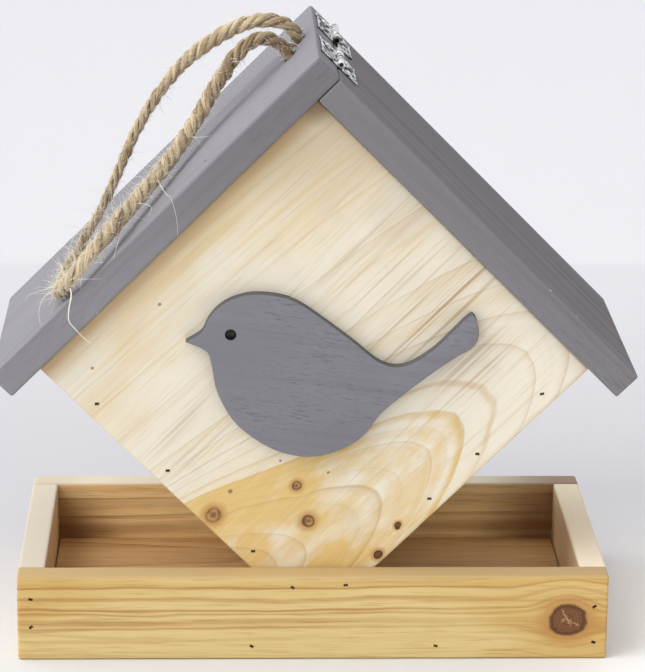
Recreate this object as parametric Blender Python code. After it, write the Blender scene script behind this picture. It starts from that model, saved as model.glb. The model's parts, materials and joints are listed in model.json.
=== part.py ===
"""Hanging wooden bird feeder: a square house set on its corner in an open tray.

Metres, +Z up, the front towards -Y. The origin is at the middle of the tray's underside.
"""

import math

import bmesh
import bpy
from mathutils import Matrix, Vector

MM = 0.001
GAP = 0.3 * MM  # clearance left between any two pieces

# Tray
TRAY_WIDTH = 240 * MM
TRAY_DEPTH = 126 * MM
TRAY_HEIGHT = 36 * MM
TRAY_BOARD = 11 * MM
FLOOR_BOARD = 11 * MM

# House
APEX_HEIGHT = 248 * MM  # outer corner of the ridge above the tray's underside
ROOF_BOARD = 12 * MM
ROOF_SLOPE = 183 * MM  # ridge corner to eave, along the slope
ROOF_DEPTH = 116 * MM
GABLE_BOARD = 11 * MM
GABLE_FOOT_WIDTH = 2 * MM  # the bottom corner is cut flat to stand on the floor
HOPPER_BOARD = 11 * MM
SEED_GAP = 24 * MM  # where each hopper panel stops, short of the bottom corner

# Hinges
HINGE_LENGTH = 29 * MM
HINGE_SHEET = 0.8 * MM
HINGE_CENTRES = (29 * MM, -22 * MM)
KNUCKLE_RADIUS = 1.6 * MM
KNUCKLE_BORE = 0.95 * MM
KNUCKLE_SPLIT = 4.85 * MM  # the lid leaf's knuckle reaches this far each way
PIN_RADIUS = 0.65 * MM
PIN_HEAD_RADIUS = 1.3 * MM
PIN_HEAD = 0.8 * MM
AXIS_RISE = KNUCKLE_RADIUS + GAP  # hinge axis above the outer roof surface
LEAF_NAIL_OUT = 5.2 * MM
LEAF_NAIL_ALONG = 10.4 * MM
LEAF_NAIL_RADIUS = 0.6 * MM
LEAF_NAIL_HEAD = 1.45 * MM
LEAF_NAIL_DEPTH = 6 * MM

# Brads
BRAD_RADIUS = 0.9 * MM
BRAD_LENGTH = 20 * MM
BRAD_SINK = 0.6 * MM

# Bird plaque
PLAQUE_THICKNESS = 5.5 * MM
EYE_RADIUS = 2.5 * MM
PLAQUE_PIN_RADIUS = 0.7 * MM
PLAQUE_PIN_LENGTH = 11 * MM

# Rope
ROPE_RADIUS = 2.5 * MM
ROPE_HOLE_RADIUS = 3.3 * MM
ROPE_STEP = 6.5 * MM  # spacing of the rope's curve points
BACK_HOLE = (9 * MM, 17.5 * MM, 6 * MM)  # slope distance outside, inside, and depth
FRONT_HOLE = (13.8 * MM, 16.8 * MM, -6 * MM)
KNOT_CENTRE = Vector((-3.5 * MM, 0, 210.5 * MM))
KNOT_RADII = (7.5 * MM, 8.5 * MM, 8 * MM)

C45 = math.sqrt(0.5)
SEAM = ROOF_BOARD  # ridge corner to the seam, on the right slope
GABLE_FRONT = TRAY_DEPTH / 2 - TRAY_BOARD - GAP  # gable's outer face from the middle
GABLE_BACK = GABLE_FRONT - GABLE_BOARD
INNER_APEX = APEX_HEIGHT - ROOF_BOARD / C45
GABLE_SIDE = (INNER_APEX - FLOOR_BOARD - GAP + GABLE_FOOT_WIDTH / 2) * C45
BRAD_ROW = HOPPER_BOARD / 2  # rows of brads run up the middle of the hopper boards

for old in list(bpy.data.objects):
    bpy.data.objects.remove(old, do_unlink=True)


def make_material(name, colour, metallic, roughness):
    material = bpy.data.materials.new(name)
    material.use_nodes = True
    shader = material.node_tree.nodes["Principled BSDF"]
    shader.inputs["Base Color"].default_value = (*colour, 1)
    shader.inputs["Metallic"].default_value = metallic
    shader.inputs["Roughness"].default_value = roughness
    return material


PINE = make_material("natural_pine", (0.72, 0.5, 0.28), 0.0, 0.6)
GREY_PAINT = make_material("grey_painted_wood", (0.26, 0.26, 0.28), 0.0, 0.55)
NICKEL = make_material("nickel_hinge", (0.75, 0.74, 0.72), 1.0, 0.25)
STEEL = make_material("steel_nails", (0.3, 0.28, 0.27), 1.0, 0.45)
JUTE = make_material("jute_rope", (0.55, 0.4, 0.22), 0.0, 0.9)


def add_object(name, bm, material, parent=None):
    """Turns a bmesh into a named object."""
    bmesh.ops.recalc_face_normals(bm, faces=bm.faces)
    mesh = bpy.data.meshes.new(name)
    bm.to_mesh(mesh)
    bm.free()
    mesh.materials.append(material)
    item = bpy.data.objects.new(name, mesh)
    bpy.context.scene.collection.objects.link(item)
    item.parent = parent
    return item


def shade_round(item):
    for polygon in item.data.polygons:
        polygon.use_smooth = True


def add_box(name, low, high, material, parent=None, ease=0.7 * MM):
    """A board between two corners, its edges eased by one chamfer."""
    bm = bmesh.new()
    bmesh.ops.create_cube(bm, size=1)
    low = Vector(low)
    high = Vector(high)
    size = high - low
    middle = (low + high) / 2
    bmesh.ops.transform(bm, matrix=Matrix.Translation(middle) @ Matrix.Diagonal((*size, 1)), verts=bm.verts)
    bmesh.ops.bevel(bm, geom=bm.edges, offset=ease, segments=1, affect="EDGES")
    return add_object(name, bm, material, parent)


def add_plate(name, outline, low, high, material, parent=None, ease=0.0, flat_axis="Y"):
    """An outline of (x, z) points extruded along Y, or of (x, y) points along Z."""
    bm = bmesh.new()
    if flat_axis == "Y":
        verts = [bm.verts.new((a, low, b)) for a, b in outline]
        step = Vector((0, high - low, 0))
    else:
        verts = [bm.verts.new((a, b, low)) for a, b in outline]
        step = Vector((0, 0, high - low))
    face = bm.faces.new(verts)
    grown = bmesh.ops.extrude_face_region(bm, geom=[face])
    moved = [g for g in grown["geom"] if isinstance(g, bmesh.types.BMVert)]
    bmesh.ops.translate(bm, vec=step, verts=moved)
    if ease:
        bmesh.ops.bevel(bm, geom=bm.edges, offset=ease, segments=1, affect="EDGES")
    return add_object(name, bm, material, parent)


def add_turned(name, profile, start, direction, material, parent=None, sides=8):
    """A solid of revolution from (along, radius) pairs, along a direction from start."""
    bm = bmesh.new()
    turn = Vector((0, 0, 1)).rotation_difference(Vector(direction).normalized()).to_matrix().to_4x4()
    place = Matrix.Translation(Vector(start)) @ turn
    rings = []
    for along, radius in profile:
        ring = []
        for i in range(sides):
            angle = 2 * math.pi * (i + 0.5) / sides
            ring.append(bm.verts.new(place @ Vector((radius * math.cos(angle), radius * math.sin(angle), along))))
        rings.append(ring)
    for lower, upper in zip(rings, rings[1:]):
        for i in range(sides):
            j = (i + 1) % sides
            bm.faces.new((lower[i], lower[j], upper[j], upper[i]))
    bm.faces.new(rings[0])
    bm.faces.new(rings[-1])
    return add_object(name, bm, material, parent)


def cut_rods(target, name, rods, sides=12):
    """Drills the target with straight rods, each given as (start, end, radius) in its parent's frame."""
    bm = bmesh.new()
    for start, end, radius in rods:
        start = Vector(start)
        end = Vector(end)
        axis = end - start
        turn = Vector((0, 0, 1)).rotation_difference(axis.normalized()).to_matrix().to_4x4()
        place = Matrix.Translation((start + end) / 2) @ turn
        bmesh.ops.create_cone(
            bm, cap_ends=True, segments=sides, radius1=radius, radius2=radius, depth=axis.length, matrix=place
        )
    cutter = add_object(name, bm, STEEL, target.parent)
    cutter.location = target.location
    use_cutter(target, cutter, "DIFFERENCE")


def use_cutter(target, cutter, operation):
    cutter.hide_render = True
    cutter.display_type = "WIRE"
    cut = target.modifiers.new(cutter.name, "BOOLEAN")
    cut.operation = operation
    cut.solver = "EXACT"
    cut.object = cutter


def add_empty(name, location, turn_y=0.0, parent=None):
    empty = bpy.data.objects.new(name, None)
    bpy.context.scene.collection.objects.link(empty)
    empty.location = location
    empty.rotation_euler = (0, turn_y, 0)
    empty.parent = parent
    return empty


# Frames. On each slope local X runs along the slope and local Z points out of the roof.
left_slope = add_empty("left_slope", (0, 0, APEX_HEIGHT), -math.pi / 4)
right_slope = add_empty("right_slope", (0, 0, APEX_HEIGHT), math.pi / 4)
lid_axis = add_empty("lid_axis", (SEAM, 0, AXIS_RISE), 0, right_slope)


def house_point(right, left, y=0.0):
    """A world point given by its distances under the roof's left and right inner faces."""
    return Vector(((right - left) * C45, y, INNER_APEX - (right + left) * C45))


# Where the brads go. Each is (name, head position, direction), with the heads on the outer face.
half_width = TRAY_WIDTH / 2
half_depth = TRAY_DEPTH / 2
end_x = half_width - TRAY_BOARD / 2
FRONT_IN = Vector((0, 1, 0))
BACK_IN = Vector((0, -1, 0))

tray_front_brads = [
    ("front_brad_left_upper", (-end_x, -half_depth, 26 * MM)),
    ("front_brad_left_lower", (-end_x, -half_depth, 14 * MM)),
    ("front_brad_right_upper", (end_x, -half_depth, 22.5 * MM)),
    ("front_brad_right_lower", (end_x, -half_depth, 7 * MM)),
    ("front_brad_gable_left", (-8.5 * MM, -half_depth, 31 * MM)),
    ("front_brad_gable_right", (13 * MM, -half_depth, 32 * MM)),
    ("front_brad_floor_left", (-25 * MM, -half_depth, 5.5 * MM)),
    ("front_brad_floor_right", (50 * MM, -half_depth, 5.5 * MM)),
]
tray_back_brads = [
    ("back_brad_left_upper", (-end_x, half_depth, 25 * MM)),
    ("back_brad_left_lower", (-end_x, half_depth, 11 * MM)),
    ("back_brad_right_upper", (end_x, half_depth, 25 * MM)),
    ("back_brad_right_lower", (end_x, half_depth, 11 * MM)),
    ("back_brad_gable_left", (-10 * MM, half_depth, 31 * MM)),
    ("back_brad_gable_right", (10 * MM, half_depth, 31 * MM)),
]
FRONT_LEFT_ROW = (129 * MM, 89 * MM, 40 * MM)  # distances up from the gable's bottom corner
FRONT_RIGHT_ROW = (135 * MM, 99 * MM, 72 * MM, 54 * MM)
BACK_ROW = (125 * MM, 48 * MM)
ROOF_ROW = (62 * MM, 138 * MM)  # distances down the left slope from the ridge


def row_point(side, up, y):
    """A point on the gable, along one lower edge and in from it by half a hopper board."""
    along = GABLE_SIDE - up
    across = GABLE_SIDE - BRAD_ROW
    return house_point(along, across, y) if side == "left" else house_point(across, along, y)


gable_brads = {"front": [], "back": []}
for index, up in enumerate(FRONT_LEFT_ROW):
    gable_brads["front"].append((f"gable_front_brad_left_{index + 1}", row_point("left", up, -GABLE_FRONT)))
for index, up in enumerate(FRONT_RIGHT_ROW):
    gable_brads["front"].append((f"gable_front_brad_right_{index + 1}", row_point("right", up, -GABLE_FRONT)))
for side in ("left", "right"):
    for index, up in enumerate(BACK_ROW):
        gable_brads["back"].append((f"gable_back_brad_{side}_{index + 1}", row_point(side, up, GABLE_FRONT)))


def brad_bores(brads, inward, start, end):
    """Clearance rods for brads, from start to end along inward, measured from the outer face."""
    inward = Vector(inward)
    return [
        (Vector(head) + inward * start, Vector(head) + inward * end, BRAD_RADIUS + GAP) for _, head in brads
    ]


BORE_END = BRAD_SINK + BRAD_LENGTH + GAP
OPEN = -2 * MM  # bores start this far outside the face they open on

# Tray
inner_x = half_width - TRAY_BOARD
inner_y = half_depth - TRAY_BOARD
front_wall = add_box(
    "tray_front_wall", (-half_width, -half_depth, 0), (half_width, -inner_y, TRAY_HEIGHT), PINE
)
back_wall = add_box("tray_back_wall", (-half_width, inner_y, 0), (half_width, half_depth, TRAY_HEIGHT), PINE)
side_y = inner_y - GAP
left_wall = add_box("tray_left_wall", (-half_width, -side_y, 0), (-inner_x, side_y, TRAY_HEIGHT), PINE)
right_wall = add_box("tray_right_wall", (inner_x, -side_y, 0), (half_width, side_y, TRAY_HEIGHT), PINE)
floor_x = inner_x - GAP
tray_floor = add_box("tray_floor", (-floor_x, -side_y, 0), (floor_x, side_y, FLOOR_BOARD), PINE)

cut_rods(front_wall, "front_wall_bores", brad_bores(tray_front_brads, FRONT_IN, OPEN, TRAY_BOARD + 2 * MM), 8)
cut_rods(back_wall, "back_wall_bores", brad_bores(tray_back_brads, BACK_IN, OPEN, TRAY_BOARD + 2 * MM), 8)
for wall, sign in ((left_wall, -1), (right_wall, 1)):
    front_ends = [b for b in tray_front_brads[:4] if b[1][0] * sign > 0]
    back_ends = [b for b in tray_back_brads[:4] if b[1][0] * sign > 0]
    rods = brad_bores(front_ends, FRONT_IN, TRAY_BOARD - 1 * MM, BORE_END)
    rods += brad_bores(back_ends, BACK_IN, TRAY_BOARD - 1 * MM, BORE_END)
    cut_rods(wall, wall.name + "_bores", rods, 8)
cut_rods(tray_floor, "floor_bores", brad_bores(tray_front_brads[6:], FRONT_IN, TRAY_BOARD - 1 * MM, BORE_END), 8)

# Gables, square on their corner with the bottom cut flat
edge = GAP
foot_z = FLOOR_BOARD + GAP
foot_half = GABLE_FOOT_WIDTH / 2
gable_outline = [
    house_point(edge, edge).xz,
    house_point(edge, GABLE_SIDE).xz,
    Vector((-foot_half, foot_z)),
    Vector((foot_half, foot_z)),
    house_point(GABLE_SIDE, edge).xz,
]
front_gable = add_plate("front_gable", gable_outline, -GABLE_FRONT, -GABLE_BACK, PINE, ease=0.6 * MM)
back_gable = add_plate("back_gable", gable_outline, GABLE_BACK, GABLE_FRONT, PINE, ease=0.6 * MM)

# Hopper panels, flush with the gables' lower edges
hopper_in = GABLE_SIDE - HOPPER_BOARD
hopper_end = GABLE_SIDE - SEED_GAP
hopper_y = GABLE_BACK - GAP
left_hopper_outline = [
    house_point(edge, hopper_in).xz,
    house_point(edge, GABLE_SIDE).xz,
    house_point(hopper_end, GABLE_SIDE).xz,
    house_point(hopper_end, hopper_in).xz,
]
right_hopper_outline = [Vector((-x, z)) for x, z in left_hopper_outline]
left_hopper = add_plate("left_hopper_panel", left_hopper_outline, -hopper_y, hopper_y, PINE, ease=0.6 * MM)
right_hopper = add_plate("right_hopper_panel", right_hopper_outline, -hopper_y, hopper_y, PINE, ease=0.6 * MM)

# Bird plaque
BIRD_BODY = [
    (-51.7, 132.9),
    (-45.4, 136.9),
    (-42.8, 142.0),
    (-39.2, 146.6),
    (-33.6, 150.3),
    (-25.2, 152.5),
    (-14.5, 151.7),
    (-6, 148.4),
    (5.5, 140.3),
    (15.5, 132.6),
    (24.5, 125.2),
    (31.5, 122.6),
    (38.5, 124),
    (47, 129.6),
    (53.5, 136),
    (58.6, 141.4),
    (61.6, 143.9),
    (62.9, 143.9),
    (64.2, 141.4),
    (65, 137.2),
    (64.4, 133.4),
    (62, 130.2),
    (56, 126.6),
    (47, 120.2),
    (38, 113.2),
    (31.5, 107.8),
    (26, 102.6),
    (22.4, 97.4),
    (18.6, 93),
    (13.2, 89.2),
    (6, 86.2),
    (-3, 84.9),
    (-14, 87),
    (-24, 92.4),
    (-33, 100.6),
    (-39.2, 112.4),
    (-41.4, 123.6),
    (-43.6, 129.2),
]
EYE = Vector((-33.8 * MM, 0, 136 * MM))
plaque_back = -GABLE_FRONT - GAP
plaque_front = plaque_back - PLAQUE_THICKNESS
bird_outline = [(x * MM, z * MM) for x, z in BIRD_BODY]
bird = add_plate("bird_plaque", bird_outline, plaque_front, plaque_back, GREY_PAINT, ease=0.5 * MM)
plaque_pins = [
    ("plaque_pin_upper", Vector((-6 * MM, plaque_front, 142 * MM))),
    ("plaque_pin_lower", Vector((-9.5 * MM, plaque_front, 92 * MM))),
]
eye_rod = (EYE + Vector((0, plaque_front - MM, 0)), EYE + Vector((0, plaque_back + MM, 0)), EYE_RADIUS)
pin_bore = PLAQUE_PIN_RADIUS + GAP
pin_rods = [(p + BACK_IN * MM, p + FRONT_IN * (PLAQUE_THICKNESS + MM), pin_bore) for _, p in plaque_pins]
cut_rods(bird, "plaque_bores", [eye_rod] + pin_rods, 12)
for name, place in plaque_pins:
    shade_round(
        add_turned(
            name,
            [(0.1 * MM, PLAQUE_PIN_RADIUS), (PLAQUE_PIN_LENGTH, PLAQUE_PIN_RADIUS)],
            place,
            FRONT_IN,
            STEEL,
        )
    )

# Bores of the gables and the hopper panels
LEFT_ROOF_IN = Vector((C45, 0, -C45))
roof_brads = []
for side, y in (("front", -1), ("back", 1)):
    for index, down in enumerate(ROOF_ROW):
        head = Vector((-down * C45, y * (GABLE_FRONT - GABLE_BOARD / 2), APEX_HEIGHT - down * C45))
        roof_brads.append((f"roof_brad_{side}_{index + 1}", head))
through = GABLE_BOARD + 2 * MM
front_rods = brad_bores(gable_brads["front"], FRONT_IN, OPEN, through)
front_rods += brad_bores(tray_front_brads[4:6], FRONT_IN, TRAY_BOARD - 1 * MM, BORE_END)
front_rods += brad_bores(roof_brads[:2], LEFT_ROOF_IN, ROOF_BOARD - 1 * MM, BORE_END)
blind = PLAQUE_PIN_LENGTH + GAP
front_rods += [(p, p + FRONT_IN * blind, pin_bore) for _, p in plaque_pins]
cut_rods(front_gable, "front_gable_bores", front_rods, 8)
back_rods = brad_bores(gable_brads["back"], BACK_IN, OPEN, through)
back_rods += brad_bores(tray_back_brads[4:6], BACK_IN, TRAY_BOARD - 1 * MM, BORE_END)
back_rods += brad_bores(roof_brads[2:], LEFT_ROOF_IN, ROOF_BOARD - 1 * MM, BORE_END)
cut_rods(back_gable, "back_gable_bores", back_rods, 8)
for panel, side in ((left_hopper, "left"), (right_hopper, "right")):
    rods = brad_bores([b for b in gable_brads["front"] if side in b[0]], FRONT_IN, GABLE_BOARD - MM, BORE_END)
    rods += brad_bores([b for b in gable_brads["back"] if side in b[0]], BACK_IN, GABLE_BOARD - MM, BORE_END)
    cut_rods(panel, panel.name + "_bores", rods, 8)

# Brads
brad_profile = [(BRAD_SINK, BRAD_RADIUS), (BRAD_SINK + BRAD_LENGTH, BRAD_RADIUS)]
for brads, inward in (
    (tray_front_brads, FRONT_IN),
    (tray_back_brads, BACK_IN),
    (gable_brads["front"], FRONT_IN),
    (gable_brads["back"], BACK_IN),
    (roof_brads, LEFT_ROOF_IN),
):
    for name, head in brads:
        shade_round(add_turned(name, brad_profile, head, inward, STEEL, sides=6))

# Roof. The left panel runs through to the ridge, and the lid butts against its inner face.
half_roof = ROOF_DEPTH / 2
roof_left = add_box(
    "roof_left_panel", (-ROOF_SLOPE, -half_roof, -ROOF_BOARD), (0, half_roof, 0), GREY_PAINT, left_slope, 0.8 * MM
)
lid_start = GAP
roof_lid = add_box(
    "roof_lid",
    (lid_start, -half_roof, -ROOF_BOARD - AXIS_RISE),
    (ROOF_SLOPE - SEAM, half_roof, -AXIS_RISE),
    GREY_PAINT,
    lid_axis,
    0.8 * MM,
)
rope_rods = []
for outer, inner, y in (BACK_HOLE, FRONT_HOLE):
    outside = Vector((-outer, y, 0))
    inside = Vector((-inner, y, -ROOF_BOARD))
    run = (outside - inside) * 0.4
    rope_rods.append((inside - run, outside + run, ROPE_HOLE_RADIUS))
cut_rods(roof_left, "rope_holes", rope_rods, 16)
slope_brads = [
    (Vector((-down, y * (GABLE_FRONT - GABLE_BOARD / 2), 2 * MM)), y) for y in (-1, 1) for down in ROOF_ROW
]
slope_rods = [(p, Vector((p.x, p.y, -ROOF_BOARD - 2 * MM)), BRAD_RADIUS + GAP) for p, _ in slope_brads]
leaf_nail_depth = LEAF_NAIL_DEPTH + 2 * GAP
for centre in HINGE_CENTRES:
    for along in (-LEAF_NAIL_ALONG, LEAF_NAIL_ALONG):
        # the end face is vertical to the slope here, so the bore runs down the slope
        depth_in_board = -(SEAM - LEAF_NAIL_OUT)
        slope_rods.append(
            (
                Vector((2 * MM, centre + along, depth_in_board)),
                Vector((-leaf_nail_depth, centre + along, depth_in_board)),
                LEAF_NAIL_RADIUS + GAP,
            )
        )
cut_rods(roof_left, "left_panel_bores", slope_rods, 8)
lid_rods = []
for centre in HINGE_CENTRES:
    for along in (-LEAF_NAIL_ALONG, LEAF_NAIL_ALONG):
        lid_rods.append(
            (
                Vector((LEAF_NAIL_OUT, centre + along, 0)),
                Vector((LEAF_NAIL_OUT, centre + along, -AXIS_RISE - leaf_nail_depth)),
                LEAF_NAIL_RADIUS + GAP,
            )
        )
cut_rods(roof_lid, "lid_bores", lid_rods, 8)

# Hinges. Leaf outlines are (out from the axis, along the axis), for one half, in millimetres.
LEAF_HALF = [
    (9.4, 0),
    (9.0, 2.4),
    (8.9, 5.0),
    (9.0, 8.0),
    (9.4, 11.2),
    (10.0, 14.5),
    (7.4, 13.9),
    (4.8, 13.9),
    (2.2, 14.5),
]
LEAF_HOLES = [(5.3, 0, 1.7), (5.9, 4.3, 1.1), (3.9, 6.6, 0.8), (6.6, 7.4, 0.8)]


def leaf_outline(side, centre, inner_tabs):
    """The leaf's plan. Inner tabs are the along-ranges where it reaches under its knuckles."""
    outer = [(a, b) for a, b in reversed(LEAF_HALF)]
    outer += [(a, -b) for a, b in LEAF_HALF[1:]]
    inner = []
    for low, high in inner_tabs:
        inner += [(2.2, low), (0.0, low), (0.0, high), (2.2, high)]
    points = outer + inner
    cleaned = []
    for point in points:
        if not cleaned or point != cleaned[-1]:
            cleaned.append(point)
    if cleaned[0] == cleaned[-1]:
        cleaned.pop()
    return [(side * a * MM, centre + b * MM) for a, b in cleaned]


def add_leaf(name, side, centre, ranges, parent, offset):
    """One leaf with its knuckles. Offset moves it from the hinge axis to its parent's origin."""
    low = -KNUCKLE_RADIUS
    plate = add_plate(
        name, leaf_outline(side, centre, ranges), low, low + HINGE_SHEET, NICKEL, parent, flat_axis="Z"
    )
    plate.location = offset
    knuckles = bmesh.new()
    for start, end in ranges:
        turn = Matrix.Rotation(math.pi / 2, 4, "X")
        place = Matrix.Translation((0, centre + (start + end) / 2 * MM, 0)) @ turn
        bmesh.ops.create_cone(
            knuckles,
            cap_ends=True,
            segments=12,
            radius1=KNUCKLE_RADIUS,
            radius2=KNUCKLE_RADIUS,
            depth=(end - start) * MM,
            matrix=place,
        )
    barrel = add_object(name + "_barrel", knuckles, NICKEL, parent)
    barrel.location = offset
    use_cutter(plate, barrel, "UNION")
    rods = [
        (
            Vector((0, centre - HINGE_LENGTH / 2 - MM, 0)),
            Vector((0, centre + HINGE_LENGTH / 2 + MM, 0)),
            KNUCKLE_BORE,
        )
    ]
    cut_rods(plate, name + "_bore", rods, 12)
    holes = []
    nail_hole = LEAF_NAIL_RADIUS + GAP
    spots = [(LEAF_NAIL_OUT, LEAF_NAIL_ALONG, nail_hole), (LEAF_NAIL_OUT, -LEAF_NAIL_ALONG, nail_hole)]
    for out, along, radius in LEAF_HOLES:
        spots.append((out * MM, along * MM, radius * MM))
        if along:
            spots.append((out * MM, -along * MM, radius * MM))
    for out, along, radius in spots:
        x = side * out
        y = centre + along
        holes.append((Vector((x, y, low - MM)), Vector((x, y, low + HINGE_SHEET + MM)), radius))
    cut_rods(plate, name + "_holes", holes, 8)
    return plate


half_mm = HINGE_LENGTH / MM / 2
split_mm = KNUCKLE_SPLIT / MM
gap_mm = GAP / MM
outer_ranges = [(-half_mm, -split_mm - gap_mm), (split_mm + gap_mm, half_mm)]
inner_ranges = [(-split_mm, split_mm)]
axis_offset = Vector((SEAM, 0, AXIS_RISE))
leaf_top = -KNUCKLE_RADIUS + HINGE_SHEET
nail_profile = [
    (-leaf_top - GAP - 0.55 * MM, 0.5 * MM),
    (-leaf_top - GAP - 0.3 * MM, 1.2 * MM),
    (-leaf_top - GAP, LEAF_NAIL_HEAD),
    (-leaf_top - GAP + 0.01 * MM, LEAF_NAIL_RADIUS),
    (AXIS_RISE + LEAF_NAIL_DEPTH, LEAF_NAIL_RADIUS),
]
for number, centre in enumerate(HINGE_CENTRES, start=1):
    add_leaf(f"hinge_{number}_fixed_leaf", -1, centre, outer_ranges, right_slope, axis_offset)
    add_leaf(f"hinge_{number}_lid_leaf", 1, centre, inner_ranges, lid_axis, Vector())
    reach = HINGE_LENGTH / 2 + GAP
    pin_profile = [
        (-reach - PIN_HEAD, 0.8 * MM),
        (-reach - PIN_HEAD / 2, PIN_HEAD_RADIUS),
        (-reach, PIN_HEAD_RADIUS),
        (-reach + 0.01 * MM, PIN_RADIUS),
        (reach - 0.01 * MM, PIN_RADIUS),
        (reach, PIN_HEAD_RADIUS),
        (reach + PIN_HEAD / 2, PIN_HEAD_RADIUS),
        (reach + PIN_HEAD, 0.8 * MM),
    ]
    start = axis_offset + Vector((0, centre, 0))
    shade_round(
        add_turned(f"hinge_{number}_pin", pin_profile, start, (0, 1, 0), NICKEL, right_slope, 10)
    )
    for letter, along in (("a", -LEAF_NAIL_ALONG), ("b", LEAF_NAIL_ALONG)):
        fixed = axis_offset + Vector((-LEAF_NAIL_OUT, centre + along, 0))
        moving = Vector((LEAF_NAIL_OUT, centre + along, 0))
        down = (0, 0, -1)
        add_turned(f"hinge_{number}_fixed_nail_{letter}", nail_profile, fixed, down, STEEL, right_slope)
        add_turned(f"hinge_{number}_lid_nail_{letter}", nail_profile, moving, down, STEEL, lid_axis)


# Rope
def slope_point(down, y, rise):
    """A world point on the left slope, from millimetres down it, along Y and out from it."""
    return Vector((-(down + rise) * C45 * MM, y * MM, APEX_HEIGHT - (down - rise) * C45 * MM))


ROPE_ABOVE = [
    # down the slope, y, out from the surface: out of the back hole, over the arch, round the bight
    (9.0, 6, 0),
    (7.2, 6, 3.4),
    (6.8, 6, 6.6),
    (7.9, 6, 10),
    (11, 6, 15),
    (19, 6, 20.8),
    (33, 6, 25.2),
    (48, 6, 26.8),
    (64, 6, 25.2),
    (80, 6, 21.2),
    (96, 6.5, 15),
    (108, 7, 10.2),
    (120, 6.5, 6.2),
    (129.5, 1.5, 4),
    (135.5, -9, 3.4),
    (139.6, -24, 3.3),
    (141.4, -40, 3.3),
    (139.4, -50.5, 4),
    (132, -57.3, 5.6),
    (121.5, -56, 6.6),
    (108.5, -46.5, 6.8),
    (95.5, -35.5, 6.4),
    (82, -23.5, 6.2),
    (70, -14, 6.8),
    (58, -8.5, 9),
    (46, -6.5, 12),
    (36, -6, 14.4),
    (27, -6, 15.8),
    (20, -6, 15),
    (15, -6, 11.6),
    (13.2, -6, 6),
    (13.8, -6, 0),
]
rope_route = [KNOT_CENTRE + Vector((0.3 * MM, 3.6 * MM, KNOT_RADII[2] + 0.9 * MM))]
rope_route.append(slope_point(BACK_HOLE[1] / MM + 1.2, 5.7, -ROOF_BOARD / MM - 2))
rope_route += [slope_point(*row) for row in ROPE_ABOVE]
rope_route.append(slope_point(FRONT_HOLE[1] / MM + 0.8, -5.7, -ROOF_BOARD / MM - 2))
rope_route.append(KNOT_CENTRE + Vector((0.6 * MM, -3.6 * MM, KNOT_RADII[2] + 0.9 * MM)))


def smooth_line(route, step):
    """Points at an even step along a smooth curve through the route."""
    padded = [route[0] * 2 - route[1]] + route + [route[-1] * 2 - route[-2]]
    dense = []
    for a, b, c, d in zip(padded, padded[1:], padded[2:], padded[3:]):
        ab = (b - a).length ** 0.5
        bc = (c - b).length ** 0.5
        cd = (d - c).length ** 0.5
        leave = ((b - a) / ab - (c - a) / (ab + bc) + (c - b) / bc) * bc
        arrive = ((c - b) / bc - (d - b) / (bc + cd) + (d - c) / cd) * bc
        for i in range(24):
            t = i / 24
            dense.append(
                b * (2 * t**3 - 3 * t**2 + 1)
                + leave * (t**3 - 2 * t**2 + t)
                + c * (-2 * t**3 + 3 * t**2)
                + arrive * (t**3 - t**2)
            )
    dense.append(route[-1])
    lengths = [0.0]
    for a, b in zip(dense, dense[1:]):
        lengths.append(lengths[-1] + (b - a).length)
    count = round(lengths[-1] / step)
    points = []
    j = 0
    for i in range(count + 1):
        target = lengths[-1] * i / count
        while j < len(dense) - 2 and lengths[j + 1] < target:
            j += 1
        part = (target - lengths[j]) / (lengths[j + 1] - lengths[j])
        points.append(dense[j].lerp(dense[j + 1], min(part, 1)))
    return points, lengths[-1]


rope_points, rope_length = smooth_line(rope_route, ROPE_STEP)
rope_curve = bpy.data.curves.new("hanging_rope", "CURVE")
rope_curve.dimensions = "3D"
rope_curve.bevel_depth = ROPE_RADIUS
rope_curve.bevel_resolution = 2
rope_curve.use_fill_caps = True
spline = rope_curve.splines.new("POLY")
spline.points.add(len(rope_points) - 1)
for point, place in zip(spline.points, rope_points):
    point.co = (*place, 1)
rope_curve.materials.append(JUTE)
rope = bpy.data.objects.new("hanging_rope", rope_curve)
bpy.context.scene.collection.objects.link(rope)

knot_mesh = bmesh.new()
bmesh.ops.create_icosphere(knot_mesh, subdivisions=3, radius=1)
for vert in knot_mesh.verts:
    # a knot's turns show as a wave over the lump
    turn = math.atan2(vert.co.y, vert.co.x)
    wave = 1 - 0.09 * (1 - math.cos(3 * turn + 5 * vert.co.z)) / 2
    vert.co = Vector((vert.co.x * KNOT_RADII[0], vert.co.y * KNOT_RADII[1], vert.co.z * KNOT_RADII[2])) * wave
knot = add_object("rope_knot", knot_mesh, JUTE)
knot.location = KNOT_CENTRE
shade_round(knot)

print(f"rope centreline {rope_length / MM:.1f} mm, {len(rope_points)} points")
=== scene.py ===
"""Looks of the hanging wooden bird feeder: boards, paint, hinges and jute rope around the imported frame."""

import json
import math
import random

import bmesh
import bpy
from mathutils import Matrix, Vector, noise


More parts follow.
